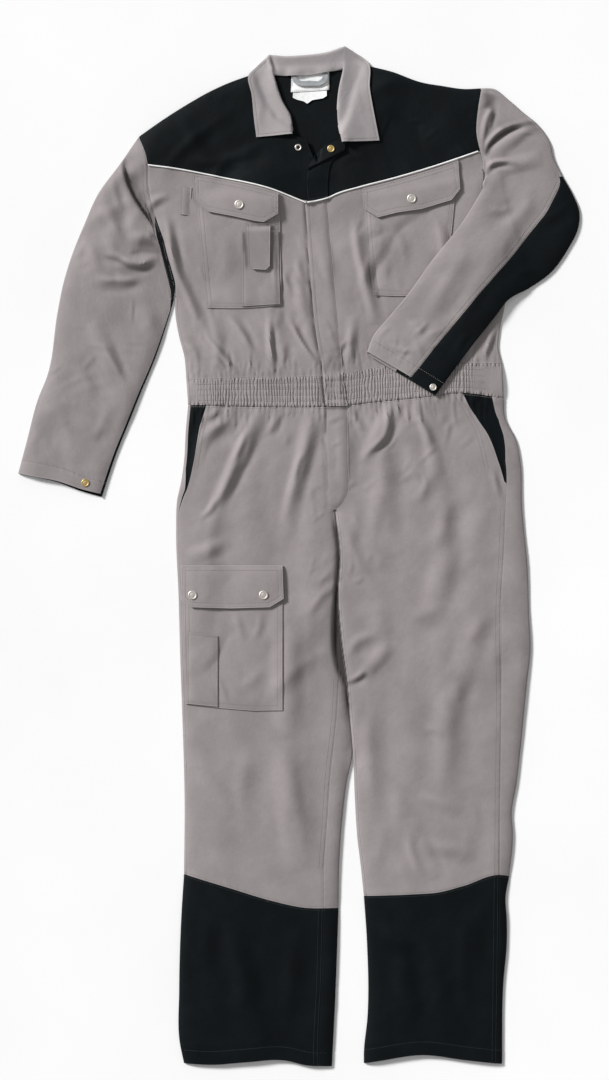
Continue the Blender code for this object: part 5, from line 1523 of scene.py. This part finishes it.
def neckPieces():
    label, tape = (whiteLabel, "label_tape"), (greyTape, "loop_tape")
    low = ((-12, 760), (-6, 757), (6, 754), (12, 750), (20, 756), (38, 759), (44, 763))
    laid("size_label", label, between(low, ((-11, 772), (44, 775))), "back_yoke", thick=0.9,
         sewn="T", rows=(), puff=0.3, lift=0.8, pitch=1.8)
    laid("neck_label", label, between(((-15, 769), (48, 773)), ((-14, 801), (48, 804))),
         "back_yoke", thick=0.9, rows=(1.4,), puff=0.5, pitch=1.8)
    low = ((-12, 800), (-11, 786), (-4, 781), (16, 779), (36, 781), (44, 787), (46, 801))
    high = ((-5.5, 800), (-4.5, 791), (-1, 788.5), (16, 787.5), (33, 788.5), (36.5, 792), (38, 801))
    laid("hanger_loop", tape, between(low, high, smooth, smooth), "neck_label", thick=1.5,
         sewn="LR", rows=(2.0,), puff=1.6, lift=0.2, pitch=1.3)


cord = {"width": 2.5, "height": 1.9, "step": 2.5, "above": 0.15, "settle": (1.5, 2.0), "sides": 10}


def piping(name, points):
    line = smooth(points)
    centre = line(np.linspace(0, 1, round(line.length / cord["step"]) + 1))
    along = unit(np.gradient(centre, axis=0))
    side = np.stack([-along[:, 1], along[:, 0]], axis=1)
    rest = settled(*cord["settle"])
    base = readMap(rest, centre) + cord["above"]
    ring = []
    for a in np.linspace(0, 2 * math.pi, cord["sides"], endpoint=False):
        out, up = math.cos(a) * cord["width"] / 2, (math.sin(a) + 1) * cord["height"] / 2
        ring.append(np.column_stack([centre + out * side, base + up]))
    grid = np.stack(ring + [ring[0]], axis=1)
    rows, columns = len(centre), cord["sides"]
    r, c = np.indices((rows - 1, columns)).reshape(2, -1)
    after = (c + 1) % columns
    quads = np.stack([r * columns + c, r * columns + after, (r + 1) * columns + after,
                      (r + 1) * columns + c], axis=1)
    caps = []
    for first in (0, (rows - 1) * columns):
        for k in range(columns // 2 - 1):
            cap = [first + k, first + k + 1, first + columns - 2 - k, first + columns - 1 - k]
            caps.append(cap[::-1] if first == 0 else cap)
    piece = meshPiece(name + "_cord", grid[:, :-1].reshape(-1, 3), np.vstack([quads, caps]),
                      whitePiping)
    pressOn(grid[:, 1:6], 0.1)
    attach(piece, "root")
    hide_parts(name)


chestFlap = {"thick": 1.8, "sewn": "T", "stitched": "LRBT", "lift": 0.5, "puff": 1.0,
             "settle": (6, 5)}


def chestRight():
    low, high = ((-154, 413), (-100, 412), (-30, 417)), ((-171, 596), (-100, 592), (-34, 585))
    laid("chest_pocket_right", grey, between(low, high, smooth, smooth), "front_right",
         sewn="LRB", lift=0, puff=1.1,
         extra=creasedBy((14, 0.7, ((-116, 545), (-112, 490), (-120, 440))),
                         (10, 0.5, ((-160, 520), (-150, 470), (-152, 430)))))
    laid("phone_pocket", grey, between(((-96, 415), (-33, 419)), ((-96, 538), (-36, 540))),
         "chest_pocket_right", sewn="LRB", stitched="LRBT", rows=(2.2,), puff=1.0, lift=0.6,
         extra=creasedBy((8, 1.6, ((-40, 533), (-38, 480), (-36, 428)), 5),
                         (5, 0.8, ((-94, 528), (-90, 500)))),
         shades=((((-93, 541), (-91, 520), (-89, 500), (-88, 470)), (3.4, 1.6), 0.7),
                 (((-46, 541), (-45, 500), (-46, 468)), (2.4, 2.0), 0.45)))
    low = ((-174, 592), (-163, 580), (-152, 571), (-110, 563), (-75, 555), (-60, 553), (-36, 567))
    high = ((-177, 633), (-130, 625), (-75, 612), (-36, 602))
    laid("chest_flap_right", grey, between(low, high, highLine=smooth), "chest_pocket_right",
         extra=crest(-110, 596, 40, 0.8), **chestFlap)
    low, high = ((-85, 482), (-78, 476), (-56, 475), (-50, 481)), ((-88, 551), (-49, 551))
    laid("phone_pocket_flap", grey, between(low, high), "phone_pocket", thick=1.8, sewn="T",
         stitched="LRB", rows=(2.4,), lift=0.8)
    laid("pen_loop", grey, between(((-198, 567), (-182, 565)), ((-196, 615), (-179, 611))),
         "front_right", thick=1.0, sewn="LRT", rows=(1.6,), puff=0.5, lift=0.3, sunk="R",
         pitch=1.6)


def chestLeft():
    low, high = ((121, 433), (178, 432), (240, 440)), ((106, 592), (180, 602), (258, 620))
    start, end, _, right = between(low, high, smooth, smooth)
    laid("chest_pocket_left", grey, (start, end, smooth((low[0], (112, 500), high[0])), right),
         "front_left", sewn="LRB", lift=0, puff=1.1,
         extra=creasedBy((10, 0.9, ((150, 560), (175, 520), (180, 470))),
                         (8, 0.7, ((225, 570), (240, 530), (235, 480)))))
    low = ((104, 576), (128, 561), (160, 569), (200, 575), (250, 590), (264, 608))
    high = ((102, 609), (160, 624), (210, 639), (261, 656))
    laid("chest_flap_left", grey, between(low, high, highLine=smooth), "chest_pocket_left",
         extra=crest(190, 604, 42, 0.8), **chestFlap)


def cargoPieces():
    low = ((-189, -241), (-138, -247), (-75, -252), (-29, -251))
    laid("cargo_pocket", grey, between(low, ((-193, -16), (-29, -16))), "leg_front_right",
         puff=1.3, lift=0, pitch=3.0,
         extra=creasedBy((8, 1.0, ((-106, -86), (-96, -110), (-85, -135))),
                         (8, 1.1, ((-60, -86), (-61, -112), (-72, -142))),
                         (6, 1.0, ((-135, -190), (-123, -218), (-114, -242))),
                         (12, 0.8, ((-50, -180), (-75, -210), (-110, -225)))))
    laid("rule_pocket", grey, between(((-187, -240), (-136, -245)), ((-187, -122), (-136, -128))),
         "cargo_pocket", sewn="LRB", stitched="LRBT", rows=(2.4,), puff=0.9, lift=0.7)
    low = ((-196, -68), (-180, -81), (-115, -83), (-50, -81), (-27, -67))
    laid("cargo_flap", grey, between(low, ((-197, -12), (-29, -12))), "cargo_pocket", thick=1.9,
         sewn="T", stitched="LRBT", puff=1.2, lift=0.6, extra=crest(-120, -55, 34, 0.8))


placket = {
    "fold": ((10.0, 639.0), (75.0, 671.0)),  # above it the placket's end lies turned over
    "rise": 3.4, "riseFrom": (-1.0, 1.5), "riseOver": 20,
    "gathered": (302, 52),  # from which y down, and over how far, the elastic gathers its side
    "gathers": 1.1,
}


def placketPieces():
    left = ((12, 642), (10, 612), (11, 588))
    right = ((74, 686), (73, 672), (52, 652), (46, 625), (46, 593))
    fold = np.array(placket["fold"])

    def tab(places):
        run = unit(fold[1] - fold[0])
        beyond = run[0] * (places[..., 1] - fold[0][1]) - run[1] * (places[..., 0] - fold[0][0])
        rise = placket["rise"] * easeIn(beyond, *placket["riseFrom"])
        return rise * np.exp(-np.maximum(beyond, 0) / placket["riseOver"])

    creases = creasedBy((7, 0.7, ((20, 500), (32, 470), (45, 450))),
                        (6, 0.6, ((40, 400), (52, 380), (60, 350))))

    def creasesAndGathers(places):
        top, tall = placket["gathered"]
        share = np.clip((top - places[..., 1]) / tall, 0, 1)
        inBand = easeIn(places[..., 0], 37, 43) * easeIn(310 - places[..., 1], 0, 8)
        return creases(places) + placket["gathers"] * inBand * gatherHeight(places, share, 0)

    top = smooth((left[0], (20, 656), (36, 675), (52, 684), right[0]))
    laid("placket_yoke", black, (top, *upright(left, right)[1:]), "yoke_front_left", sewn="RB",
         stitched="LT", rows=(3.0,), puff=0.5, lift=0.6, group="dark", extra=tab, pitch=2.0)
    right = ((46, 590), (52, 520), (58, 455), (66, 370), (69, 325), (75, 270), (79, 250.3))
    laid("placket", grey, upright(placketEdge, right), "front_left", sewn="RBT", stitched="LR",
         rows=(3.4,), sunk="R", puff=0.6, extra=creasesAndGathers, pitch=1.7)
    left = ((44, 248.8), (44, 210), (46, 150), (49, 80))
    right = ((79, 248.8), (80, 160), (79, 105), (66, 80))
    laid("fly", grey, upright(left, right), "leg_front_left", thick=0.8, stitched="R",
         rows=(3.4,), sunk="RTB", puff=0.3,
         extra=creasedBy((6, 0.9, ((44, 220), (58, 226), (74, 230))),
                         (5, 0.6, ((50, 181), (61, 186), (71, 191)))))


collar = {
    "outer": (((-72, 694), (-76, 725), (-80, 765), (-85, 796), (-70, 813), (-51, 831)),
              ((-51, 831), (-30, 828), (0, 829), (50, 836), (74, 845)),
              ((74, 845), (92, 834), (112, 819), (115, 775), (122, 735), (131, 689))),
    "inner": (((-12, 699), (-14, 725), (-30, 755), (-44, 797)),
              ((-44, 797), (-20, 796), (14, 797), (45, 802), (72, 807)),
              ((72, 807), (64, 770), (62, 725), (69, 685))),
    "rows": (84, 52, 84),
    "columns": 26,
    "leafRise": 5.5, "leafFrom": 0.25,  # share of its width from where a leaf rises
    "bandRise": 6.0,
    "rollOver": 4.0,
    "bandEnds": (16, 10),  # rows over which the leaves pass into the band behind the neck
    "thick": 2.0,
    "settle": (6, 4),  # how broadly it lies over what is below it
    "stitchIn": 4.5,
    "row": (0.3, 1.2),  # depth and width of the row of stitches
    "creases": ((4.5, 3.2, ((-51, 836), (-46, 815), (-38, 796))),
                (7, 0.4, ((-70, 700), (-60, 740), (-62, 790))),
                (8, 0.4, ((122, 700), (105, 740), (100, 790))),
                (6, 0.4, ((-40, 705), (-45, 740), (-62, 770)))),
}


def collarPiece():
    outer = stations(*zip(collar["outer"], collar["rows"]))
    inner = stations(*zip(collar["inner"], collar["rows"]))
    plan = layPlan(byLength((outer[0], inner[0])), byLength((outer[-1], inner[-1])), outer, inner)
    t = np.linspace(0, 1, collar["columns"] + 1)
    places = allRows(plan, t)
    rest = settled(*collar["settle"])
    row = np.arange(plan.rows)
    first, second = collar["rows"][0], collar["rows"][0] + collar["rows"][1]
    out, into = collar["bandEnds"]
    band = easeIn(row, first - out, first + into)
    band = band * (1 - easeIn(row, second - into, second + out))
    band = band[:, None]
    width = plan.width[:, None]
    roll, inset = collar["rollOver"], collar["stitchIn"]

    def rollDown(distance):
        inside = np.clip(roll - distance, 0, roll)
        return roll - np.sqrt(np.maximum(roll**2 - inside**2, 0))

    leaf = collar["leafRise"] * easeIn(t, collar["leafFrom"], 1.0) - rollDown((1 - t) * width)
    back = collar["bandRise"] * (1 - t) ** 0.8 - rollDown(t * width)
    height = readMap(rest, places) + cloth["gap"] + collar["thick"] / 2
    height = height + leaf * (1 - band) + back * band + creasedBy(*collar["creases"])(places)
    dip, wide = collar["row"]
    height -= dip * bell(t * width - inset, wide) * (1 - band)
    grid = raisedTo(height, places)
    # the collar takes the paler copy of the twill: painted light
    clothShell("collar", grid, litCollarTwill, "grey_twill", thick=collar["thick"],
               on="yoke_front_right", folds=plain)
    edge = insetLine(grid, "L", inset)
    for line in (edge[:first - 4], edge[second + 6:], *(insetLine(grid, e, inset) for e in "BT")):
        sew("details", line)


# A cap from its rim to its middle: share of its width, rise
capProfile = ((0.9, -0.4), (1.0, 0.1), (1.0, 0.6), (0.96, 1.05), (0.88, 1.3), (0.78, 1.32),
              (0.7, 1.1), (0.64, 0.9), (0.56, 0.95), (0.4, 1.2), (0.2, 1.32), (0.06, 1.35))
snap = {
    "sides": 36,
    "above": 0.1,
    "socket": 0.27,  # of the width, across which an open stud is dark
    "facingUp": 0.3,
    "sharp": 60,
}


def snapPiece(name, x, y, finish, slot, width, socket):
    sides, centre = snap["sides"], np.array([[x, y]])
    angle = np.linspace(0, 2 * math.pi, sides, endpoint=False)
    ring = np.stack([np.cos(angle), np.sin(angle)], axis=1) * width / 2
    spots = np.vstack([centre + share * ring for share in (0, 0.5, 1.0)])
    base = readMap(topMap, spots).max() + snap["above"]
    points = np.vstack([np.column_stack([centre + share * ring, np.full(sides, base + rise)])
                        for share, rise in capProfile])
    faces = [tuple(range(sides))[::-1]]
    last = len(capProfile) - 1
    for level in range(last):
        for k in range(sides):
            a, b = level * sides + k, level * sides + (k + 1) % sides
            faces.append((a, b, b + sides, a + sides))
    faces.append(tuple(range(last * sides, (last + 1) * sides)))
    mesh = bpy.data.meshes.new(name + "_cap")
    mesh.from_pydata([tuple(p) for p in toModel(points)], [], faces)
    mesh.materials.append(finish)
    if socket:
        mesh.materials.append(darkSocket)
        x, y = x + cloth["shift"][0], y + cloth["shift"][1]
        for face in mesh.polygons:
            reach = math.hypot(face.center.x * 1000 - x, face.center.y * 1000 - y)
            dark = reach < snap["socket"] * width and face.normal.z > snap["facingUp"]
            face.material_index = 1 if dark else 0
    mesh.shade_smooth()
    mesh.set_sharp_from_angle(angle=math.radians(snap["sharp"]))
    piece = addObject(name + "_cap", mesh)
    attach(piece, "root")
    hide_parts(name)


def snapPieces():
    silver, brass = (silverCap, "snap_silver"), (brassCap, "snap_brass")
    for place, x, y, finish, width in (
        ("neck_right", -3, 677, silver, 11), ("neck_left", 51, 674, brass, 12),
        ("chest_right", -100, 582, silver, 15), ("chest_left", 184, 592, silver, 15),
        ("cargo_outer", -177, -61, silver, 15), ("cargo_inner", -60, -61, silver, 15),
        ("cuff_right", -354, 124, brass, 13), ("cuff_left", 219, 281, silver, 11.5),
    ):
        snapPiece("snap_" + place, x, y, *finish, width, place == "neck_right")


# Stitches, by Geometry Nodes, sizes in metres
stitching = {"Pitch": 0.0034, "Length": 0.0012, "Width": 0.00042, "Seed": 3}


def stitchTree(finish):
    tree = bpy.data.node_groups.new("stitches_" + finish.name, "GeometryNodeTree")
    for way in ("INPUT", "OUTPUT"):
        tree.interface.new_socket("Geometry", in_out=way, socket_type="NodeSocketGeometry")
    names = {}
    for name in stitching:
        kind = "NodeSocketInt" if name == "Seed" else "NodeSocketFloat"
        names[name] = tree.interface.new_socket(name, in_out="INPUT", socket_type=kind).identifier
    given = addNode(tree, "NodeGroupInput")
    curve = addNode(tree, "GeometryNodeMeshToCurve", {"Mesh": (given, "Geometry")})
    spots = addNode(tree, "GeometryNodeCurveToPoints", {
        "mode": "LENGTH", "Curve": (curve, "Curve"), "Length": (given, "Pitch")})
    bead = addNode(tree, "GeometryNodeMeshUVSphere", {"Segments": 4, "Rings": 3, "Radius": 1.0})
    size = addNode(tree, "CombineXYZ", {"X": (given, "Width"), "Y": (given, "Width"),
                                        "Z": (given, "Length")})
    drawn = addNode(tree, "GeometryNodeTransform", {"Geometry": (bead, "Mesh"),
                                                    "Scale": (size, "Vector")})
    vary = addNode(tree, "FunctionNodeRandomValue", {  # 2 and 3 are the least and the most
        "data_type": "FLOAT", "Seed": (given, "Seed"), 2: 0.85, 3: 1.12})
    placed = addNode(tree, "GeometryNodeInstanceOnPoints", {
        "Points": (spots, "Points"), "Instance": (drawn, "Geometry"),
        "Rotation": (spots, "Rotation"), "Scale": (vary, 1)})
    real = addNode(tree, "GeometryNodeRealizeInstances", {"Geometry": (placed, "Instances")})
    dyed = addNode(tree, "GeometryNodeSetMaterial", {"Material": finish,
                                                     "Geometry": (real, "Geometry")})
    addNode(tree, "NodeGroupOutput", {"Geometry": (dyed, "Geometry")})
    return tree, names


def stitchPiece(name, lines, finish):
    points, edges = [], []
    for line in lines:
        start = len(points)
        points += [tuple(p) for p in toModel(line)]
        edges += [(start + k, start + k + 1) for k in range(len(line) - 1)]
    mesh = bpy.data.meshes.new(name + "_path")
    mesh.from_pydata(points, edges, [])
    path = addObject(name + "_path", mesh)
    tree, names = stitchTree(finish)
    modifier = path.modifiers.new("stitches", "NODES")
    modifier.node_group = tree
    for key, value in stitching.items():
        modifier[names[key]] = value
    graph = bpy.context.evaluated_depsgraph_get()
    made = bpy.data.meshes.new_from_object(path.evaluated_get(graph))
    bpy.data.objects.remove(path, do_unlink=True)
    made.name = name
    made.shade_smooth()
    piece = addObject(name, made)
    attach(piece, "root")
    print(name, len(made.polygons), "faces")


sewBody()
neckPieces()
piping("piping_right", yokeSeamRight[:-2] + ((10, 586),))
chestRight()
chestLeft()
cargoPieces()
placketPieces()
start = ((12, 585.5), (30, 589), (46, 593.5), (60, 600))  # over the placket
piping("piping_left", start + yokeSeamLeft[2:-1] + ((294, 671),))
sleeveLeft()
for inset in sewing["rows"]:
    sew("body", beside(sleeveSeamLeft[2:], -inset))
sew("body", beside(cuffLeft, sewing["turnUp"])[:40])
collarPiece()
snapPieces()
for group, thread, (_, slot) in (("body", greyThreadPaintedShade, grey), ("details", greyThreadPaintedShade, grey),
                                 ("dark", blackThread, black)):
    stitchPiece("stitches_" + group, stitchLines[group], thread)
print("pieces laid and sewn")


# Floor, light and camera
studio = {
    "sky": 0.36,
    "key": (4.5, 28.0, 13.0),  # strength, degrees above the floor, softness in degrees
    "lens": 85.0,
    "sensor": 36.0,
    "frameHeight": 1.782,
    "farthest": 50,
    "floorHalf": 6.0,
    "floorLevel": -0.0003,  # just below the cloth
    "aim": (0.009275, 0.0271, 0.006),
}


def floorPiece():
    finish = mottled("white_studio_paper", {"Scale": 3.0, "Detail": 3.0},
                     ((0.3, "#F6F6F6"), (0.7, "#FAFAFA")), Roughness=0.9)[0]
    mesh = bpy.data.meshes.new("studio_floor")
    half, level = studio["floorHalf"], studio["floorLevel"]
    mesh.from_pydata([(-half, -half, level), (half, -half, level), (half, half, level),
                      (-half, half, level)], [], [(0, 1, 2, 3)])
    mesh.materials.append(finish)
    piece = addObject("studio_floor", mesh)


def studioPieces():
    world = bpy.data.worlds.new("soft_studio")
    bpy.context.scene.world = world
    world.use_nodes = True
    setNode(world.node_tree.nodes["Background"], {"Color": (1, 1, 1, 1), "Strength": studio["sky"]})
    strength, above, softness = studio["key"]
    lamp = bpy.data.lights.new("soft_key", "SUN")
    lamp.energy, lamp.angle = strength, math.radians(softness)
    key = addObject("soft_key", lamp)
    x, y = cloth["lightFrom"]
    key.location = (2 * x, 2 * y, 2.0)
    key.rotation_euler = (math.radians(90 - above), 0, math.atan2(x, -y))
    lens = bpy.data.cameras.new("camera")
    lens.lens, lens.sensor_width = studio["lens"], studio["sensor"]
    lens.clip_end = studio["farthest"]
    camera = addObject("camera", lens)
    x, y, z = studio["aim"]
    camera.location = (x, y, z + studio["frameHeight"] * studio["lens"] / studio["sensor"])
    bpy.context.scene.camera = camera
    bpy.context.scene.view_settings.view_transform = "Standard"


floorPiece()
studioPieces()
print("floor, light and camera set")
bpy.context.view_layer.update()
print("cut sizes in mm:", json.dumps(declared))
